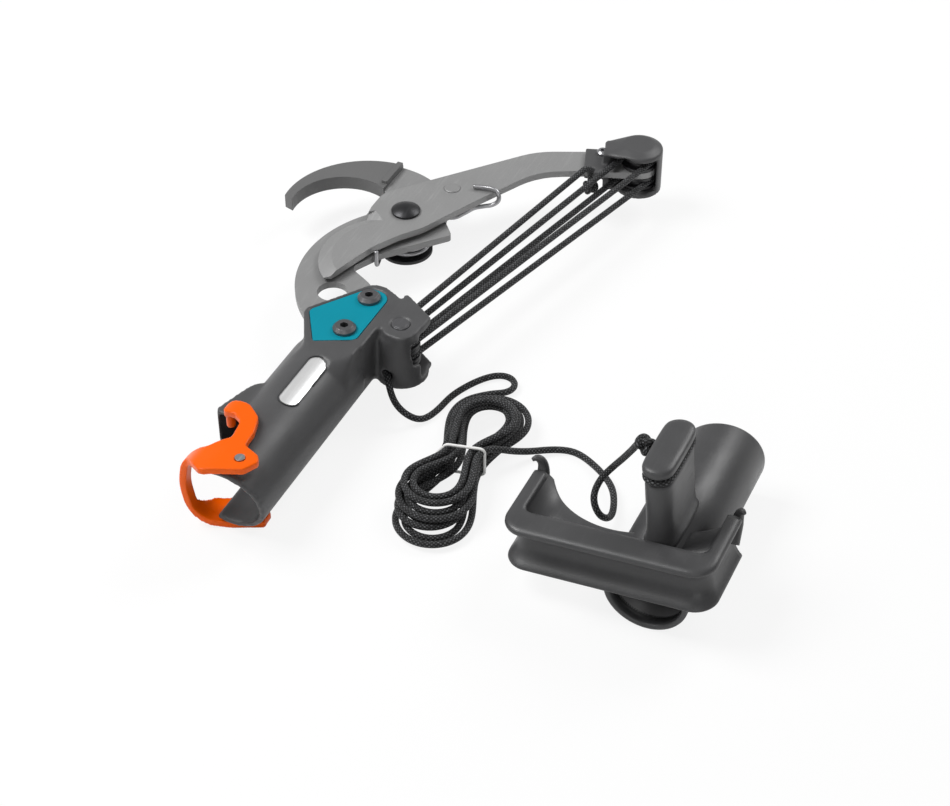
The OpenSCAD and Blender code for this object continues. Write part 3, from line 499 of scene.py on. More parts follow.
# %% Dress the solids
def dress(made, body, slot):
    """Rides the piece on its body and gives it the finish of its slot."""
    made.data.materials.clear()
    made.data.materials.append(FINISHES[slot])
    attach(made, body)
    return made


for part in frame["record"]["subparts"]:
    materials = nodes[part["node"]].data.materials
    materials.clear()
    materials.append(FINISHES[part["material_slot"]])
for name in ("cover_screws", "lower_axle", "block_axle"):
    nodes[name].data.materials[0] = dark_steel

# %% [markdown]
# ## Lines and tubes
# Rope and wire are round, so each is a ring carried along a centre line. Blender's curves can give a tube as
# well, but a tube made here has a map that counts millimetres along it, which the braid needs, and its rings
# don't twist.

# %% Lines
STRETCH_POINTS = 12


def smooth_line(points):
    """Cubic through given points, each stretch steered by the points before and after it."""
    points = np.asarray(points, float)
    padded = np.vstack([points[:1], points, points[-1:]])
    before, start, end, after = (padded[k : len(padded) - 3 + k, None] for k in range(4))
    t = np.linspace(0.0, 1.0, STRETCH_POINTS, endpoint=False)[None, :, None]
    square = 2 * before - 5 * start + 4 * end - after
    cube = 3 * start - before - 3 * end + after
    line = 0.5 * (2 * start + (end - before) * t + square * t**2 + cube * t**3)
    return np.vstack([line.reshape(-1, 3), points[-1:]])


def length_of(path):
    """Distance along a line to each of its points."""
    return np.concatenate([[0.0], np.cumsum(np.linalg.norm(np.diff(path, axis=0), axis=1))])


def even_steps(path, step):
    """The same line with its points a fixed distance apart."""
    along = length_of(path)
    places = np.linspace(0.0, along[-1], max(3, int(round(along[-1] / step)) + 1))
    return np.stack([np.interp(places, along, path[:, axis]) for axis in range(3)], axis=1)


# %% Tubes
UPRIGHT = (0.0, 0.0, 1.0)


def frames(path, reference):
    """Two directions square to a line at each point, carried along it without twist.

    A fixed reference gives a first pair, and the turn between neighbours, summed up, is taken out of it.
    """
    ahead = unit(np.gradient(path, axis=0))
    side = unit(np.cross(reference, ahead))
    top = np.cross(ahead, side)
    carried = unit(side[:-1] - np.sum(side[:-1] * ahead[1:], axis=1, keepdims=True) * ahead[1:])
    turn = np.arctan2(np.sum(carried * top[1:], axis=1), np.sum(carried * side[1:], axis=1))
    angle = np.concatenate([[0.0], np.cumsum(turn)])[:, None]
    return np.cos(angle) * side + np.sin(angle) * top, np.cos(angle) * top - np.sin(angle) * side


def tube(name, path, radius, sides, reference=UPRIGHT):
    """A round cord: at each point of the line a ring, cosine along one direction, sine along the other."""
    side, top = frames(path, np.asarray(reference, float))
    angle = np.linspace(0.0, 2 * np.pi, sides, endpoint=False)[None, :, None]
    radii = np.broadcast_to(np.asarray(radius, float), len(path))[:, None, None]
    rings = path[:, None, :] + radii * (np.cos(angle) * side[:, None, :] + np.sin(angle) * top[:, None, :])
    along = length_of(path)
    row = np.repeat(np.arange(len(path) - 1), sides)
    column = np.tile(np.arange(sides), len(path) - 1)
    u = np.stack([along[row], along[row], along[row + 1], along[row + 1]], axis=1)
    v = np.stack([column, column + 1, column + 1, column], axis=1) / sides
    uv = np.stack([u, v], axis=-1).reshape(-1, 2)
    return lay_mesh(name, rings, grid_faces(len(path), sides), end_caps(len(path), sides), uv)


# %% [markdown]
# ## Pull rope
# One braided rope of 3.6 mm leaves the third lower wheel, drops to the table, is folded into a hank, and
# climbs in a small turn to its knot at the winder. A simulation could let it fall, but would leave its lie
# to chance. So it is one tube along one line: listed points where it lies free, and a formula for the
# hank's loops.

# %% Rope and wheels
ROPE_D = 3.6
ROPE_R = ROPE_D / 2
ROPE_SIDES = 12
ROPE_STEP, FINE_STEP = 1.0, 0.8
WRAP_R = 8.2
FLOOR_MM = -26.0
ROPE_LOW = FLOOR_MM + ROPE_R + 0.1
LOWER_AXLE = np.array([29.9, 110.5])
UPPER_AXLE = np.array([81.928, 323.407])
LOWER_Z = (13.0, 4.6, -3.8)
UPPER_Z = (10.9, -1.7)
FALL = unit(UPPER_AXLE - LOWER_AXLE)
FALL_TURN = math.atan2(FALL[1], FALL[0])


def rope(name, line, body, radius=ROPE_R, reference=UPRIGHT):
    """A stretch of the black rope along a line, riding on a body."""
    return dress(tube(name, line, radius, ROPE_SIDES, reference), body, "black_rope")


def round_wheel(axle, height, start, end, count=40):
    """Arc of the rope's centre line on a wheel, between two angles in degrees from the falls' direction."""
    angle = FALL_TURN + np.radians(np.linspace(start, end, count))
    return raised(axle + WRAP_R * np.column_stack([np.cos(angle), np.sin(angle)]), height)


print("falls run at", round(math.degrees(FALL_TURN), 1), "degrees")

# %% Hank
HANK_AT = np.array([86.0, 65.5])
HANK_TURN = math.radians(4.0)
HANK_LENGTH = 124.0
HANK_STEP = ROPE_D + 0.9
HANK_RISE = ROPE_D + 0.6
HANK_WAIST = ROPE_R + 0.5
HANK_LOW = FLOOR_MM + 1.7 + ROPE_R
HANK_START, HANK_END, HANK_TICK = -75.0, 2700.0, 2.5
FOLD_R = 11.1
FOLD_U = HANK_LENGTH / 2 - ROPE_R - FOLD_R - 2 * HANK_STEP
NEAR_CUT = (0.0, 5.0, 9.5, 14.0)
FAR_CUT = (0.0, 4.0, 8.0, 12.0)
NEAR_SIDE = (0.0, -4.0, -2.0, -4.0)
FAR_SIDE = (0.0, 4.0, 1.0, 4.0)
# In degrees: a loop, a layer of two loops, the climb to the next layer, and half a straight
LOOP, LAYER, CLIMB, STRAIGHT = 360.0, 720.0, 100.0, 50.0
FOLD_RATE = 180.0 / (LOOP / 2 - 2 * STRAIGHT)


def spun(first, second, angle, about=(0.0, 0.0)):
    """Two coordinates turned about a place: cosine of one less sine of the other, and sine plus cosine."""
    cosine, sine = math.cos(angle), math.sin(angle)
    return about[0] + cosine * first - sine * second, about[1] + sine * first + cosine * second


def ease(share):
    """A smooth rise from zero to one: three squares less two cubes."""
    return share * share * (3 - 2 * share)


def hank_line(angles):
    """Centre line of the hank at angles in degrees.

    A loop has a straight, a round fold, a straight and a fold. Loops spiral in and out, two to a layer.
    Each layer turns back sooner than the one below it and lies a little to one side, so that its strands
    cross the eye of the layer below. The straights draw in at the waist under the tie.
    """
    done = np.maximum(0, np.floor(angles / LAYER))
    inward = 2 * (angles / LAYER - done)
    out = np.where(done % 2 == 0, 2 - inward, inward) * HANK_STEP
    climbs = np.floor((angles + LOOP) / LAYER)
    climbed = ease(np.clip((angles - LAYER * climbs) / CLIMB + 0.5, 0, 1))
    layer = np.clip(climbs - 1 + climbed, 0, len(NEAR_CUT) - 1)
    rows = (NEAR_CUT, FAR_CUT, NEAR_SIDE, FAR_SIDE)
    near_cut, far_cut, near_side, far_side = (np.interp(layer, range(len(row)), row) for row in rows)
    near, far = FOLD_U - near_cut, FOLD_U - far_cut
    here = angles - LOOP * np.floor((angles + STRAIGHT) / LOOP)
    back = here - LOOP / 2
    near_turn = np.radians((here - STRAIGHT) * FOLD_RATE)
    far_turn = np.radians((back - STRAIGHT) * FOLD_RATE)
    spans = [here < STRAIGHT, back < -STRAIGHT, back < STRAIGHT]
    draw = FOLD_R - HANK_WAIST
    across = [
        -(HANK_WAIST + out + draw * ease(np.abs(here) / STRAIGHT)),
        -(FOLD_R + out) * np.cos(near_turn),
        HANK_WAIST + out + draw * ease(np.abs(back) / STRAIGHT),
    ]
    along = [
        -np.where(here < 0, far, near) * here / STRAIGHT,
        -near - (FOLD_R + out) * np.sin(near_turn),
        np.where(back < 0, near, far) * back / STRAIGHT,
    ]
    across = np.select(spans, across, (FOLD_R + out) * np.cos(far_turn))
    along = np.select(spans, along, far + (FOLD_R + out) * np.sin(far_turn))
    near_shift = near_side * ease(np.clip(-along / near, 0, 1))
    far_shift = far_side * ease(np.clip(along / far, 0, 1))
    plan = spun(across + near_shift + far_shift, along, HANK_TURN, HANK_AT)
    return np.column_stack([*plan, HANK_LOW + layer * HANK_RISE])


hank = hank_line(np.arange(HANK_START, HANK_END + 0.1, HANK_TICK))
print("hank:", round(length_of(hank)[-1]), "mm of rope")

# %% Free ends of the rope
LEAD_TURN = 134.0
TAIL_Z = HANK_LOW + 3 * HANK_RISE + 0.2
hank_in = unit(hank[1] - hank[0])
hank_out = unit(hank[-1] - hank[-2])
off_wheel = round_wheel(LOWER_AXLE, LOWER_Z[2], 90.0, LEAD_TURN, 12)
lead_way = unit(off_wheel[-1] - off_wheel[-2])
lead_points = [
    off_wheel[-1] + 3 * lead_way,
    off_wheel[-1] + 9 * lead_way,
    off_wheel[-1] + 15 * lead_way + np.array([0.6, 0.0, -1.4]),
    (36.0, 88.6, -13.0),
    (43.4, 88.4, -19.2),
    (50.0, 92.8, ROPE_LOW + 0.5),
    (53.8, 103.6, ROPE_LOW),
    (55.6, 117.0, ROPE_LOW),
    (60.0, 128.8, ROPE_LOW),
    (65.4, 138.0, ROPE_LOW),
    (71.2, 143.8, ROPE_LOW),
    (77.6, 144.9, ROPE_LOW + 0.2),
    (82.8, 141.2, ROPE_LOW + 0.5),
    (83.9, 134.8, ROPE_LOW + 0.8),
    (80.2, 129.7, ROPE_LOW + 1.1),
    hank[0] - 8 * hank_in,
    hank[0] - 4 * hank_in,
]
tail_points = [
    hank[-1] + hank_out,
    (96.1, 70.0, TAIL_Z),
    (98.9, 74.0, TAIL_Z - 1.2),
    (102.2, 78.0, TAIL_Z - 3.8),
    (106.8, 83.4, TAIL_Z - 7.6),
    (113.0, 91.0, TAIL_Z - 11.6),
    (119.9, 98.0, ROPE_LOW + 0.8),
    (127.0, 102.2, ROPE_LOW),
    (134.4, 103.0, ROPE_LOW),
    (144.0, 99.0, ROPE_LOW),
    (154.0, 91.4, -22.6),
    (162.6, 82.0, -21.2),
    (167.4, 72.0, -21.8),
    (169.6, 61.6, -20.9),
    (166.4, 54.4, -14.6),
    (161.4, 57.4, -7.0),
    (161.6, 66.2, -1.8),
    (166.6, 70.0, 5.4),
    (172.4, 68.0, 15.0),
    (178.6, 63.0, 27.0),
    (184.4, 55.6, 39.6),
]
knot_low, knot_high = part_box("end_knot")
KNOT_AT = np.array((knot_low + knot_high) / 2) / MM
KNOT_REACH = 4.0
tail_points.append(KNOT_AT - KNOT_REACH * unit(KNOT_AT - np.array(tail_points[-1])))
print("free ends:", len(lead_points), "and", len(tail_points), "points")

# %% Loose rope
RELAX_PASSES, HELD_POINTS = 20, 10
NEIGHBOURS = 14


def relaxed(path, passes, held):
    """The same line with each point drawn towards the middle of its neighbours, its ends held still."""
    last = len(path) - 1
    near_end = np.minimum(np.arange(last + 1), last - np.arange(last + 1))
    free = np.clip((near_end - held) / held, 0.0, 1.0)[:, None]
    for _ in range(passes):
        middle = 0.25 * np.roll(path, 1, axis=0) + 0.5 * path + 0.25 * np.roll(path, -1, axis=0)
        path = path + free * (middle - path)
    return path


loose_line = np.vstack([off_wheel, smooth_line(lead_points), hank, smooth_line(tail_points)])
loose_line = even_steps(loose_line, ROPE_STEP)
loose_line[:, 2] = np.maximum(loose_line[:, 2], ROPE_LOW)
loose_line = even_steps(relaxed(loose_line, RELAX_PASSES, HELD_POINTS), ROPE_STEP)
loose_rope = rope("loose_rope", loose_line, "root")
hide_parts("rope_lead", "rope_hank", "rope_tail")

apart = np.linalg.norm(loose_line[:, None] - loose_line[None], axis=2)
place = np.arange(len(loose_line))
apart[np.abs(np.subtract.outer(place, place)) < NEIGHBOURS] = np.inf
bend = np.linalg.norm(np.diff(loose_line, 2, axis=0), axis=1) / ROPE_STEP**2
print("loose rope:", round(length_of(loose_line)[-1]), "mm, gap to itself", round(apart.min() - ROPE_D, 2))
print("tightest bend", round(1 / bend.max(), 1), "mm at", loose_line[bend.argmax() + 1].round(1))

# %% [markdown]
# ## Tie
# A white band is drawn tight round the hank's waist. A plain ring would cut strands or stand off them, so in
# each direction the band lies against whichever strand stands out furthest there. It runs round the outer
# strands and straight across between them.

# %% Tie
TIE_R, TIE_SIDES, TIE_STEP = 0.8, 10, 0.6
TIE_LEAN = 0.16
TIE_DIRECTIONS = 241
strands = hank_line(np.arange(0.0, HANK_END + 1.0, LOOP / 2))
aside = spun(strands[:, 0] - HANK_AT[0], strands[:, 1] - HANK_AT[1], -HANK_TURN)[0]
angle = np.linspace(0.0, 2 * np.pi, TIE_DIRECTIONS)
outermost = np.argmax(np.outer(np.cos(angle), aside) + np.outer(np.sin(angle), strands[:, 2]), axis=1)
across = aside[outermost] + (ROPE_R + TIE_R) * np.cos(angle)
high = strands[outermost, 2] + (ROPE_R + TIE_R) * np.sin(angle)
band = np.column_stack([*spun(across, TIE_LEAN * across, HANK_TURN, HANK_AT), high])
band = even_steps(band, TIE_STEP)
tie = dress(tube("hank_band", band, TIE_R, TIE_SIDES, (0.1, 1.0, 0.1)), "root", "white_tie")
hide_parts("hank_tie")
print("tie round", round(length_of(band)[-1]), "mm")

# %% [markdown]
# ## Falls
# Five taut stretches run between the blocks. As the lever closes they swing about the lower axle and grow
# shorter. Here they are laid at rest and ride on the falls' body; their closed ends are worked out but not
# used.

# %% Dead end of the falls
BLADE_TRAVEL = math.radians(82.0)
PIVOT = np.array([-22.2, 222.5])
ACROSS_FALLS = np.array([-FALL[1], FALL[0]])
TONGUE_TURN = math.radians(19.4)
DEAD_HOLE = (-28.0, -12.9)
FLANGE_Z, FLANGE_THICK = 6.8, 3.2
DEAD_Z = FLANGE_Z + FLANGE_THICK + ROPE_R + 0.6
DEAD_REACH, DEAD_RISE = 9.5, 1.2


def turned(points, centre, angle):
    """Points turned about an upright line through a centre."""
    moved = np.array(points, float)
    away = moved[..., :2] - centre
    moved[..., 0], moved[..., 1] = spun(away[..., 0], away[..., 1], angle, centre)
    return moved


def on_wheel(axle, side, height):
    """Where a fall touches a wheel: its radius across the falls' direction, to one side."""
    return np.array([*(axle + side * WRAP_R * ACROSS_FALLS), height])


closed_way = turned(UPPER_AXLE, PIVOT, -BLADE_TRAVEL) - LOWER_AXLE
FALLS_SWING = math.atan2(closed_way[1], closed_way[0]) - FALL_TURN
shorter = np.linalg.norm(closed_way) - np.linalg.norm(UPPER_AXLE - LOWER_AXLE)
dead_at = UPPER_AXLE + np.array(spun(*DEAD_HOLE, TONGUE_TURN))
dead_low = on_wheel(LOWER_AXLE, 1, LOWER_Z[0])
dead_axis = unit(dead_at - dead_low[:2])
dead_top = np.array([*(dead_at - DEAD_REACH * dead_axis), DEAD_Z + DEAD_RISE])
dead_closed = turned(turned(dead_top, PIVOT, -BLADE_TRAVEL), LOWER_AXLE, -FALLS_SWING)
print("falls swing", round(math.degrees(FALLS_SWING), 1), "degrees and change by", round(shorter, 1), "mm")

# %% Falls
ends = [(dead_low, dead_top, dead_closed)]
for side, lower, upper in [(-1, 0, 0), (1, 1, 0), (-1, 1, 1), (1, 2, 1)]:
    high = on_wheel(UPPER_AXLE, side, UPPER_Z[upper])
    closed = high + np.array([*(shorter * FALL), 0.0])
    ends.append((on_wheel(LOWER_AXLE, side, LOWER_Z[lower]), high, closed))
for number, (low, high, closed) in enumerate(ends, 1):
    line = even_steps(np.vstack([low, high]), ROPE_STEP)
    fall = rope(f"rope_fall_{number}", line, "falls")
    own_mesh(fall)
    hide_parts("rope_falls")

# %% [markdown]
# ## Turns on the wheels
# On the lower wheels the turns swing with the falls. On the upper wheels they ride on the lever, and a thin
# tail of each lies inside its fall at rest and shows when the lever has turned further than the falls. One
# piece for a fall and its turns would squash the turns as well, so they are pieces of their own.

# %% Turns
HIDDEN_MORE, HIDDEN_LESS = 8.0, 0.15
UPPER_SPAN, UPPER_POINTS = (-90.0, 118.0), 60
THIN_FROM, THIN_R = 92.0, 0.95
turns = []
for k in (0, 1):
    turns.append(rope(f"lower_turn_{k + 1}", round_wheel(LOWER_AXLE, LOWER_Z[k], 90.0, 270.0), "falls"))
hidden = round_wheel(LOWER_AXLE, LOWER_Z[2], 90.0, LEAD_TURN + HIDDEN_MORE)
turns.append(rope("lower_turn_3", hidden, "falls", ROPE_R - HIDDEN_LESS))
for turn in turns:
    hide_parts("rope_falls")
thinned = np.where(np.linspace(*UPPER_SPAN, UPPER_POINTS) > THIN_FROM, THIN_R, ROPE_R)
for k in (0, 1):
    arc = round_wheel(UPPER_AXLE, UPPER_Z[k], *UPPER_SPAN, UPPER_POINTS)
    turn = rope(f"upper_turn_{k + 1}", arc, "lever", thinned)
    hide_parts("upper_wraps")
    turns.append(turn)
print("turns:", len(turns))

# %% [markdown]
# ## Knots
# The rope's dead end is knotted under the upper block's flange, and its other end is knotted at the winder.
# A ball would do from afar. A tight overhand knot is close to a three-lobed closed curve, so one formula
# gives both.

# %% Knots
KNOT_POINTS, KNOT_WEAVE, KNOT_TIGHT = 97, 1.6, 0.98
BLADE_Z = 2.6


def knot(name, body, centre, reach, tilt):
    """A three-lobed knot: two turns round the axis while it weaves up and down three times."""
    t = np.linspace(0.0, 2 * np.pi, KNOT_POINTS)
    x = np.sin(t) + 2 * np.sin(2 * t)
    y, z = spun(np.cos(t) - 2 * np.cos(2 * t), -KNOT_WEAVE * np.sin(3 * t), tilt)
    line = centre + (reach - ROPE_R) / 3.0 * np.column_stack([x, y, z])
    return rope(name, line, body, ROPE_R * KNOT_TIGHT, (0.3, 0.2, 1.0))


def over_hole(back, height):
    """A point some way back from the dead end's hole, along its fall, at a height."""
    return np.array([*(dead_at - back * dead_axis), height])


end_knot = knot("end_knot_rope", "root", KNOT_AT, reach=5.6, tilt=1.2)
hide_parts("end_knot")
dead_line = smooth_line(
    [
        dead_top,
        dead_top + 2.6 * unit(dead_top - dead_low),
        over_hole(3.6, DEAD_Z - 0.4),
        over_hole(0.8, DEAD_Z - 4.0),
        over_hole(0.0, FLANGE_Z),
        over_hole(0.0, BLADE_Z - 1.4),
    ]
)
dead_end = rope("dead_end_rope", even_steps(dead_line, FINE_STEP), "lever", reference=(0.6, -0.8, 0.1))
dead_knot = knot("dead_end_stopper", "lever", over_hole(0.0, BLADE_Z - 5.2), reach=5.0, tilt=0.4)
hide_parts("dead_end_knot")
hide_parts("dead_end_knot")
print("knots at", np.round(KNOT_AT, 1), np.round(dead_at, 1))

# %% [markdown]
# ## Neck loop
# The rope is looped once round the neck under the winder's cap. Half rounds and straights could be joined,
# but one formula does it: a round, with a steep step in its long direction that parts its two halves.

# %% Neck loop
TUBE_OUT = 21.5
WINDER_AT = (210.0, FLOOR_MM + TUBE_OUT)
WINDER_ROLL = math.radians(-5.0)
POST = (1.5, 35.0)
POST_TOP = 57.0
NECK_R, NECK_HALF = 4.2, 13.0
NECK_Z = POST_TOP + (ROPE_D + 1.4) / 2
NECK_STEEP, NECK_POINTS = 6, 90


def in_winder(points):
    """Points of the winder's own frame, rolled a little about its tube, in the frame of the solids."""
    points = np.asarray(points, float)
    across, high = spun(points[..., 0], points[..., 2], -WINDER_ROLL, WINDER_AT)
    return np.stack([across, points[..., 1], high], axis=-1)


def parted_round(angle, radius, half, steep):
    """Plan of a round about the post's middle, its halves moved apart by a steep step of the sine."""
    along = POST[1] + radius * np.sin(angle) + half * np.tanh(steep * np.sin(angle))
    return np.column_stack([POST[0] + radius * np.cos(angle), along])


angle = np.radians(np.linspace(-150.0, 205.0, NECK_POINTS))
neck_plan = parted_round(angle, NECK_R + ROPE_R + 0.3, NECK_HALF, NECK_STEEP)
neck_line = in_winder(raised(neck_plan, NECK_Z))
neck_rope = rope("neck_rope", even_steps(neck_line, FINE_STEP), "root")
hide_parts("neck_loop")
print("neck loop:", round(length_of(neck_line)[-1]), "mm")

# %% [markdown]
# ## Moulded casings
# A moulded casing has no sharp edge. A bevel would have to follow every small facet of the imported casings.
# So copies of them are covered with even small cells, whose corners are then averaged with their neighbours
# a few times, and every edge and inner corner turns round. First the rope's way out of each casing is
# widened, up to where the outer falls lie when the blade is closed.

# %% Softened copies
MERGE_WITHIN = 1e-6


def moulded(node, body, cell, passes, slot, taken=None):
    """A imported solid's copy, less a piece taken away, softened in cells of a size in millimetres."""
    whole = bmesh.new()
    whole.from_mesh(nodes[node].data)
    whole.transform(nodes[node].matrix_world)
    bmesh.ops.remove_doubles(whole, verts=whole.verts, dist=MERGE_WITHIN)
    copied = bpy.data.meshes.new(node + "_copy")
    whole.to_mesh(copied)
    whole.free()
    soft = bpy.data.objects.new(node + "_moulded", copied)
    bpy.context.scene.collection.objects.link(soft)
    if taken is not None:
        cut = soft.modifiers.new("cut", "BOOLEAN")
        cut.operation = "DIFFERENCE"
        cut.object = taken
    cells = soft.modifiers.new("cells", "REMESH")
    cells.mode = "VOXEL"
    cells.voxel_size = cell * MM
    averaged = soft.modifiers.new("averaged", "SMOOTH")
    averaged.factor = 0.5
    averaged.iterations = passes
    shown = soft.evaluated_get(bpy.context.evaluated_depsgraph_get())
    mesh = bpy.data.meshes.new_from_object(shown)
    soft.modifiers.clear()
    soft.data = mesh
    bpy.data.meshes.remove(copied)
    mesh.polygons.foreach_set("use_smooth", np.ones(len(mesh.polygons), bool))
    dress(soft, body, slot)
    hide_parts(node)
    return mesh


# %% Casings
FALL_CLEAR, FALL_REACH = 0.9, 24.0
LOW_FROM, LOW_TO, HIGH_TO = 10.0, 57.0, -27.0
WEDGE_MORE = 2.6


def fall_edge(axle, swing, along):
    """Plan point on the outer side of the right-hand falls, some way along, after a swing in degrees."""
    angle = FALL_TURN - math.radians(swing)
    way = np.array([math.cos(angle), math.sin(angle)])
    right = np.array([math.sin(angle), -math.cos(angle)])
    return axle + (WRAP_R + ROPE_R + FALL_CLEAR) * right + along * way


def wedge(plan, low, high):
    """An upright block on a four-sided plan, its corners given anticlockwise."""
    levels = np.vstack([raised(plan, low - WEDGE_MORE), raised(plan, high + WEDGE_MORE)])
    return lay_mesh("wedge", levels, grid_faces(2, 4), end_caps(2, 4))


low_plan = [
    fall_edge(LOWER_AXLE, LOW_FROM, FALL_REACH),
    LOWER_AXLE,
    fall_edge(LOWER_AXLE, LOW_TO, 0.0),
    fall_edge(LOWER_AXLE, LOW_TO, FALL_REACH),
]
high_plan = [
    UPPER_AXLE,
    fall_edge(UPPER_AXLE, 0.0, -FALL_REACH),
    fall_edge(UPPER_AXLE, HIGH_TO, -FALL_REACH),
    fall_edge(UPPER_AXLE, HIGH_TO, 0.0),
]
low_wedge = wedge(low_plan, LOWER_Z[1], LOWER_Z[0])
casing = moulded("socket_body", "root", cell=1.1, passes=7, slot="dark_plastic", taken=low_wedge)
high_wedge = wedge(high_plan, UPPER_Z[1], UPPER_Z[0])
block = moulded("block_housing", "lever", cell=0.6, passes=5, slot="dark_plastic", taken=high_wedge)
for used in (low_wedge, high_wedge):
    bpy.data.objects.remove(used)
print("cells:", len(casing.polygons), len(block.polygons))

# %% [markdown]
# ## Painted shade round the bare plate
# The socket's recess round the plate shows as a thin dark line of shade. That shade is painted as a thin
# black tube, since a dark edge painted on the plate would lie flat. In plan it is two half rounds and two
# straights, and its height follows the plate's own round surface.

# %% Painted recess shade
SHADE_OUT, SHADE_R, SHADE_SIDES, SHADE_STEP, SHADE_POINTS = 0.3, 0.45, 8, 0.6, 161


def points_of(mesh):
    """All points of a mesh as one array, in metres."""
    flat = np.empty(3 * len(mesh.vertices))
    mesh.vertices.foreach_get("co", flat)
    return flat.reshape(-1, 3)


plate = nodes["name_plate"]
placed = np.array(plate.matrix_world)
plate_points = (points_of(plate.data) @ placed[:3, :3].T + placed[:3, 3]) / MM
plate_r = np.hypot(plate_points[:, 0], plate_points[:, 2]).max()
half = (plate_points.max(axis=0) - plate_points.min(axis=0)) / 2
middle = (plate_points.max(axis=0) + plate_points.min(axis=0)) / 2
angle = np.linspace(0.0, 2 * np.pi, SHADE_POINTS)
shade_x = middle[0] + (half[0] + SHADE_OUT) * np.cos(angle)
shade_y = middle[1] + (half[1] - half[0]) * np.sign(np.sin(angle)) + (half[0] + SHADE_OUT) * np.sin(angle)
shade_line = np.column_stack([shade_x, shade_y, np.sqrt(plate_r**2 - shade_x**2) + SHADE_OUT])
# A black tube in the recess round the plate: painted shade, not a part of the tool
dress(tube("plate_recess_shade", even_steps(shade_line, SHADE_STEP), SHADE_R, SHADE_SIDES), "root", "black_plastic")
print("plate", half.round(2), middle.round(2), "round", plate_r.round(2))

# %% [markdown]
# ## Latch
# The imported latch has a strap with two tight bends. The real strap runs round in one curve, so the softened
# copy's corners are drawn in towards the socket's axis, most at 45 degrees. A lattice could do that too, but
# one formula on the points keeps the finger hook as it is.

# %% Latch
STRAP_FROM, STRAP_FADE, STRAP_DRAWN = -10.0, 8.0, 0.1
latch = moulded("latch_lever", "latch", cell=0.6, passes=4, slot="orange_plastic")
points = points_of(latch)
bent = np.arctan2(np.abs(points[:, 2]), -points[:, 0])
strap = np.clip((STRAP_FROM - points[:, 1] / MM) / STRAP_FADE, 0.0, 1.0) * (points[:, 0] < 0)
drawn = 1 - STRAP_DRAWN * strap * np.sin(2 * np.clip(bent, 0, np.pi / 2)) ** 2
points[:, 0] *= drawn
points[:, 2] *= drawn
latch.vertices.foreach_set("co", points.ravel())
print("latch points:", len(points))

# %% [markdown]
# ## Rope winder
# The winder is one moulding. Its rail is a loft: one line runs round the outside of the U and one round the
# inside, and every point of the section lies a share of the way between them, at its own height. The tube,
# the post and the cap are rings too, so one function closes them all and turns their faces outwards. The
# packed winder could be softened like the casings, but its waisted rail is smoother as a formula.

# %% Winder rail
CORNER_POINTS, ARM_POINTS, BAR_POINTS = 13, 14, 30


def closed_piece(name, rings, endless=False):
    """A closed piece from rows of rings; its faces are turned round when its volume comes out negative."""
    rows, columns = rings.shape[:2]
    points = rings.reshape(-1, 3)
    caps = end_caps(rows, columns)
    faces = grid_faces(rows, columns)
    if endless:
        caps = []
        faces = grid_faces(rows + 1, columns) % (rows * columns)
    a, b, c, d = (points[faces[:, k]] for k in range(4))
    volume = np.sum(a * np.cross(b, c)) + np.sum(a * np.cross(c, d))
    for cap in caps:
        ring = points[cap]
        volume += np.sum(ring[0] * np.cross(ring[1:-1], ring[2:]))
    if volume < 0:
        faces, caps = faces[:, ::-1], [cap[::-1] for cap in caps]
    return lay_mesh(name, rings, faces, caps)


def u_line(left_x, right_x, front_y, back_y, radius):
    """A U seen from above: down the left arm, along the bar and up the right arm, with round corners."""
    turn = np.radians(np.linspace(0.0, 90.0, CORNER_POINTS))[1:-1]
    low = front_y + radius
    arm = np.linspace(back_y, low, ARM_POINTS)
    bar = np.linspace(left_x + radius, right_x - radius, BAR_POINTS)
    parts = [
        np.column_stack([np.full(len(arm), left_x), arm]),
        np.column_stack([left_x + radius - radius * np.cos(turn), low - radius * np.sin(turn)]),
        np.column_stack([bar, np.full(len(bar), front_y)]),
        np.column_stack([right_x - radius + radius * np.sin(turn), low - radius * np.cos(turn)]),
        np.column_stack([np.full(len(arm), right_x), arm[::-1]]),
    ]
    return np.vstack(parts)


# Each point of the section: its share of the way from the outside to the inside, and its height
RAIL = np.array([
    (1.00, 24.0), (0.96, 24.8), (0.80, 25.2), (0.50, 25.3), (0.24, 25.1), (0.10, 24.7), (0.02, 23.9),
    (0.00, 22.9), (0.02, 21.9), (0.09, 21.2), (0.20, 20.6), (0.33, 19.4), (0.43, 17.6), (0.48, 15.2),
    (0.50, 12.6), (0.49, 10.2), (0.46, 8.0), (0.39, 6.0), (0.28, 4.3), (0.16, 2.9), (0.05, 1.9),
    (0.00, 1.0), (0.02, 0.2), (0.08, 0.0), (0.94, 0.0), (1.00, 0.6), (1.00, 8.0), (1.00, 16.0),
])
outside = u_line(left_x=-73.0, right_x=34.0, front_y=-1.5, back_y=43.0, radius=12.0)
inside = u_line(left_x=-65.6, right_x=26.6, front_y=14.0, back_y=43.0, radius=4.0)
share = RAIL[None, :, :1]
rail_plan = (1 - share) * outside[:, None, :] + share * inside[:, None, :]
rail_high = np.broadcast_to(RAIL[None, :, 1:], (*rail_plan.shape[:2], 1))
winder = [closed_piece("winder_rail", in_winder(np.concatenate([rail_plan, rail_high], axis=2)))]
print("rail:", rail_plan.shape[0], "rows of", rail_plan.shape[1], "points")

# %% Winder tube
TUBE_IN = 18.5
FAR_END = 100.0
MOUTH_SLANT = 4.0
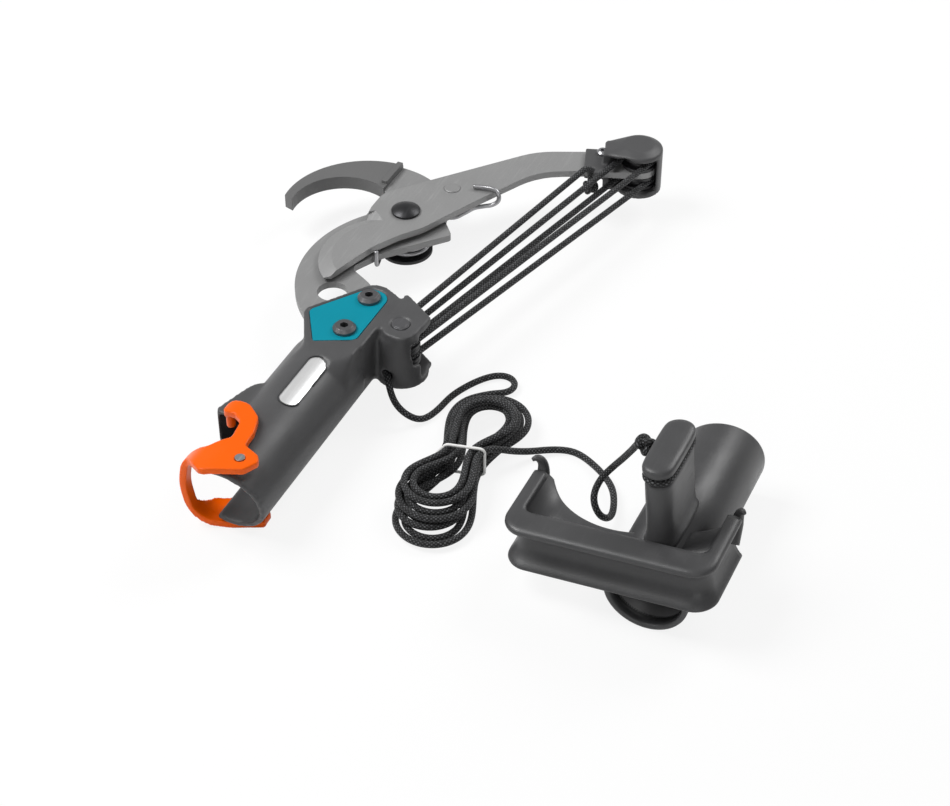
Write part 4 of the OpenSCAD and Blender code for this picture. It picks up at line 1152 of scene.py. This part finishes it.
# Each point of a wall: its distance from the tube's axis, and its place along the tube
WALL = np.array([
    (TUBE_IN, 8.0), (TUBE_IN, 60.0), (TUBE_IN, 109.8), (TUBE_IN + 0.4, 110.8), (TUBE_IN + 1.2, 111.0),
    (TUBE_OUT - 0.9, 111.0), (TUBE_OUT - 0.2, 110.6), (TUBE_OUT, 109.8), (TUBE_OUT, 60.0), (TUBE_OUT, 8.0),
])
TROUGH = np.array([
    (TUBE_IN, 9.0), (TUBE_IN, 3.0), (TUBE_IN + 0.5, 2.2), (TUBE_IN + 1.3, 2.0),
    (TUBE_OUT - 1.0, 2.0), (TUBE_OUT - 0.3, 2.4), (TUBE_OUT, 3.2), (TUBE_OUT, 9.0),
])


def round_tube(name, angles, section, slant=0.0, endless=False):
    """A wall of given radius and place along the tube, turned through angles; its far end may slant."""
    radius, along = section[None, :, 0], section[None, :, 1]
    cosine, sine = np.cos(angles)[:, None], np.sin(angles)[:, None]
    along = along + slant * cosine * (along > FAR_END)
    return closed_piece(name, in_winder(np.stack([radius * cosine, along, radius * sine], axis=-1)), endless)


whole_turn = np.linspace(0.0, 2 * np.pi, 96, endpoint=False)
lower_half = np.radians(np.linspace(177.0, 363.0, 49))
winder.append(round_tube("winder_tube", whole_turn, WALL, MOUTH_SLANT, endless=True))
winder.append(round_tube("winder_trough", lower_half, TROUGH))
print("tube walls:", len(WALL), "and", len(TROUGH), "points")

# %% Winder post
OVAL_POINTS, OVAL_STEEP = 64, 5
POST_WIDE, POST_LONG = 14.0, 40.0
FLARE, FLARE_FROM, FLARE_FADE, FLARE_LOW = 5.5, 19.0, 2.6, 18.5


def oval_stack(name, levels):
    """Rings with straight sides and round ends, of given height, width and length, one above the other."""
    angle = np.linspace(0.0, 2 * np.pi, OVAL_POINTS, endpoint=False)
    rings = []
    for height, width, length in levels:
        plan = parted_round(angle, width / 2, (length - width) / 2, OVAL_STEEP)
        rings.append(raised(plan, height))
    return closed_piece(name, in_winder(np.stack(rings)))


post_high = np.array([14.0, 18.0, 20.0, 21.5, 23.0, 25.0, 28.0, 40.0, 54.6, 56.2, 56.8, POST_TOP])
drawn_in = np.array([0.0] * 9 + [0.3, 1.0, 2.2])
wider = FLARE * np.exp(-(post_high - FLARE_FROM) / FLARE_FADE) * (post_high > FLARE_LOW) - drawn_in
winder.append(oval_stack("winder_post", np.column_stack([post_high, POST_WIDE + wider, POST_LONG + wider])))
neck_size = (2 * NECK_R, 2 * (NECK_R + NECK_HALF))
winder.append(oval_stack("winder_neck", [(56.0, *neck_size), (62.4, *neck_size)]))
print("post to", POST_TOP, "mm")

# %% Winder web
WEB_THICK, WEB_FRONT, WEB_BACK, WEB_LOW = 3.0, 10.0, 46.0, 14.0
BOW_X, BOW_Y, BOW_R = -25.0, 69.0, 45.0
LIFT, LIFT_FROM, LIFT_OVER = 7.0, -54.0, 14.0


def round_edged_plate(name, across, back, low):
    """A thin plate from its front line to a back line with a round edge, at its own height at each x."""
    angle = np.radians(np.linspace(-90.0, 90.0, 9))
    edge_r = WEB_THICK / 2
    rows = []
    for x, y, z in zip(across, back, low):
        edge = np.column_stack([y - edge_r + edge_r * np.cos(angle), z + edge_r + edge_r * np.sin(angle)])
        ring = np.vstack([[WEB_FRONT, z], edge, [WEB_FRONT, z + WEB_THICK]])
        rows.append(np.column_stack([np.full(len(ring), x), ring]))
    return closed_piece(name, in_winder(np.stack(rows)))


web_x = np.linspace(-68.0, -8.0, 40)
bow = BOW_Y - np.sqrt(np.maximum(BOW_R**2 - (web_x - BOW_X) ** 2, 0.0))
rise = LIFT * np.clip((LIFT_FROM - web_x) / LIFT_OVER, 0.0, 1.0) ** 2
winder.append(round_edged_plate("winder_web", web_x, np.minimum(bow, WEB_BACK), WEB_LOW + rise))
ramp = np.linspace(0.0, 1.0, 19)
gusset_x, gusset_back, gusset_low = 11.0 + 18.0 * ramp, 34.0 + 6.0 * ramp**2, 14.6 + 5.0 * ramp
winder.append(round_edged_plate("winder_gusset", gusset_x, gusset_back, gusset_low))
print("web from", web_x[0], "to", web_x[-1])

# %% Winder claws and cap
CLAW_STEP, CLAW_SIDES = 0.7, 16
CLAW_SHARES, CLAW_RADII = (0.0, 0.5, 0.85, 1.0), (3.6, 3.2, 2.0, 0.9)
claws = {
    "winder_claw_left": [
        (-69, 40, 12), (-69, 44, 18), (-69.2, 46.6, 24), (-70.2, 47, 28), (-72.2, 46, 30), (-74, 44.4, 29.6),
    ],
    "winder_claw_right": [
        (30, 40, 10), (30.2, 44, 15), (30.6, 46.6, 20), (31.6, 47, 24), (33.2, 46.2, 26), (34.6, 45, 25.8),
    ],
}
# Each ring of the cap: its height, width and length
DOME = [
    (62.0, 14.6, 40.6), (62.3, 15.6, 41.6), (63.0, 16.0, 42.0), (65.0, 16.0, 42.0),
    (65.9, 15.4, 41.4), (66.4, 14.0, 40.0), (66.8, 10.0, 36.0), (67.0, 4.0, 30.0),
]
for name, points in claws.items():
    line = even_steps(smooth_line(points), CLAW_STEP)
    thick = np.interp(np.linspace(0.0, 1.0, len(line)), CLAW_SHARES, CLAW_RADII)
    winder.append(tube(name, in_winder(line), thick, CLAW_SIDES, (1.0, 0.2, 0.0)))
for piece in winder:
    dress(piece, "root", "winder_plastic")
    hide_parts("winder_frame")
cap = dress(oval_stack("winder_cap_dome", DOME), "root", "winder_plastic")
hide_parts("winder_cap")
print("winder pieces:", len(winder) + 1)

# %% [markdown]
# ## Return spring
# A torsion spring round the pivot opens the blade. Its lower leg hooks over the fixed plate and its upper
# leg over the lever. One stiff piece would leave one of the two when the blade turns. The coil's axis is the
# pivot, so each leg rides on its own body, and the coil stands by itself round the pivot.

# %% Return spring
WIRE_R, WIRE_SIDES = 1.3, 12
COIL_R, COIL_PITCH, COIL_POINTS = 12.8, 3.15, 153
COIL_TOP = -6.7
COIL_TURN = math.radians(1140.0)
COIL_LOW = COIL_TOP - COIL_PITCH * COIL_TURN / (2 * math.pi)
COIL_END = math.radians(120.0)
BLADE_TOP = 6.6
over = BLADE_TOP + WIRE_R + 0.5
fixed_leg = [
    (0.9, -39.7, 5.0),
    (0.8, -39.7, 0.6),
    (0.6, -39.2, -4.0),
    (-1.0, -35.0, -7.4),
    (-6.0, -22.0, -12.0),
    (-12.0, -9.0, COIL_LOW + 0.6),
    (-COIL_R, 0.0, COIL_LOW),
]
moving_leg = [
    (COIL_R * math.cos(COIL_END), COIL_R * math.sin(COIL_END), COIL_TOP),
    (6.0, 18.3, COIL_TOP),
    (19.0, 22.6, COIL_TOP),
    (24.6, 25.5, -4.0),
    (29.6, 28.8, -0.9),
    (34.0, 32.4, -0.6),
    (38.6, 35.2, 0.0),
    (41.6, 36.8, 2.6),
    (41.4, 37.8, 6.2),
    (38.0, 38.9, over),
    (31.4, 38.2, over),
    (25.8, 36.8, over),
]
at_pivot = np.array([*PIVOT, 0.0])


def wire(name, line, reference=UPRIGHT):
    """A piece of the spring's wire along a line about the pivot."""
    return tube(name, at_pivot + line, WIRE_R, WIRE_SIDES, reference)


angle = np.linspace(0.0, COIL_TURN, COIL_POINTS)
climb = COIL_LOW + COIL_PITCH * angle / (2 * np.pi)
coil = np.column_stack([-COIL_R * np.cos(angle), COIL_R * np.sin(angle), climb])
spring_fixed = wire("spring_fixed_leg", even_steps(smooth_line(fixed_leg), FINE_STEP), (1.0, 0.3, 0.0))
dress(spring_fixed, "root", "bright_steel")
spring_moving = wire("spring_moving_leg", even_steps(smooth_line(moving_leg), FINE_STEP), (1.0, -1.0, 0.2))
dress(spring_moving, "lever", "bright_steel")
spring_coil = wire("spring_coil", coil)
spring_coil.data.materials.append(FINISHES["bright_steel"])
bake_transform(spring_coil)
for leg in (spring_fixed, spring_coil, spring_moving):
    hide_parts("return_spring")
print("spring coil radius", COIL_R)
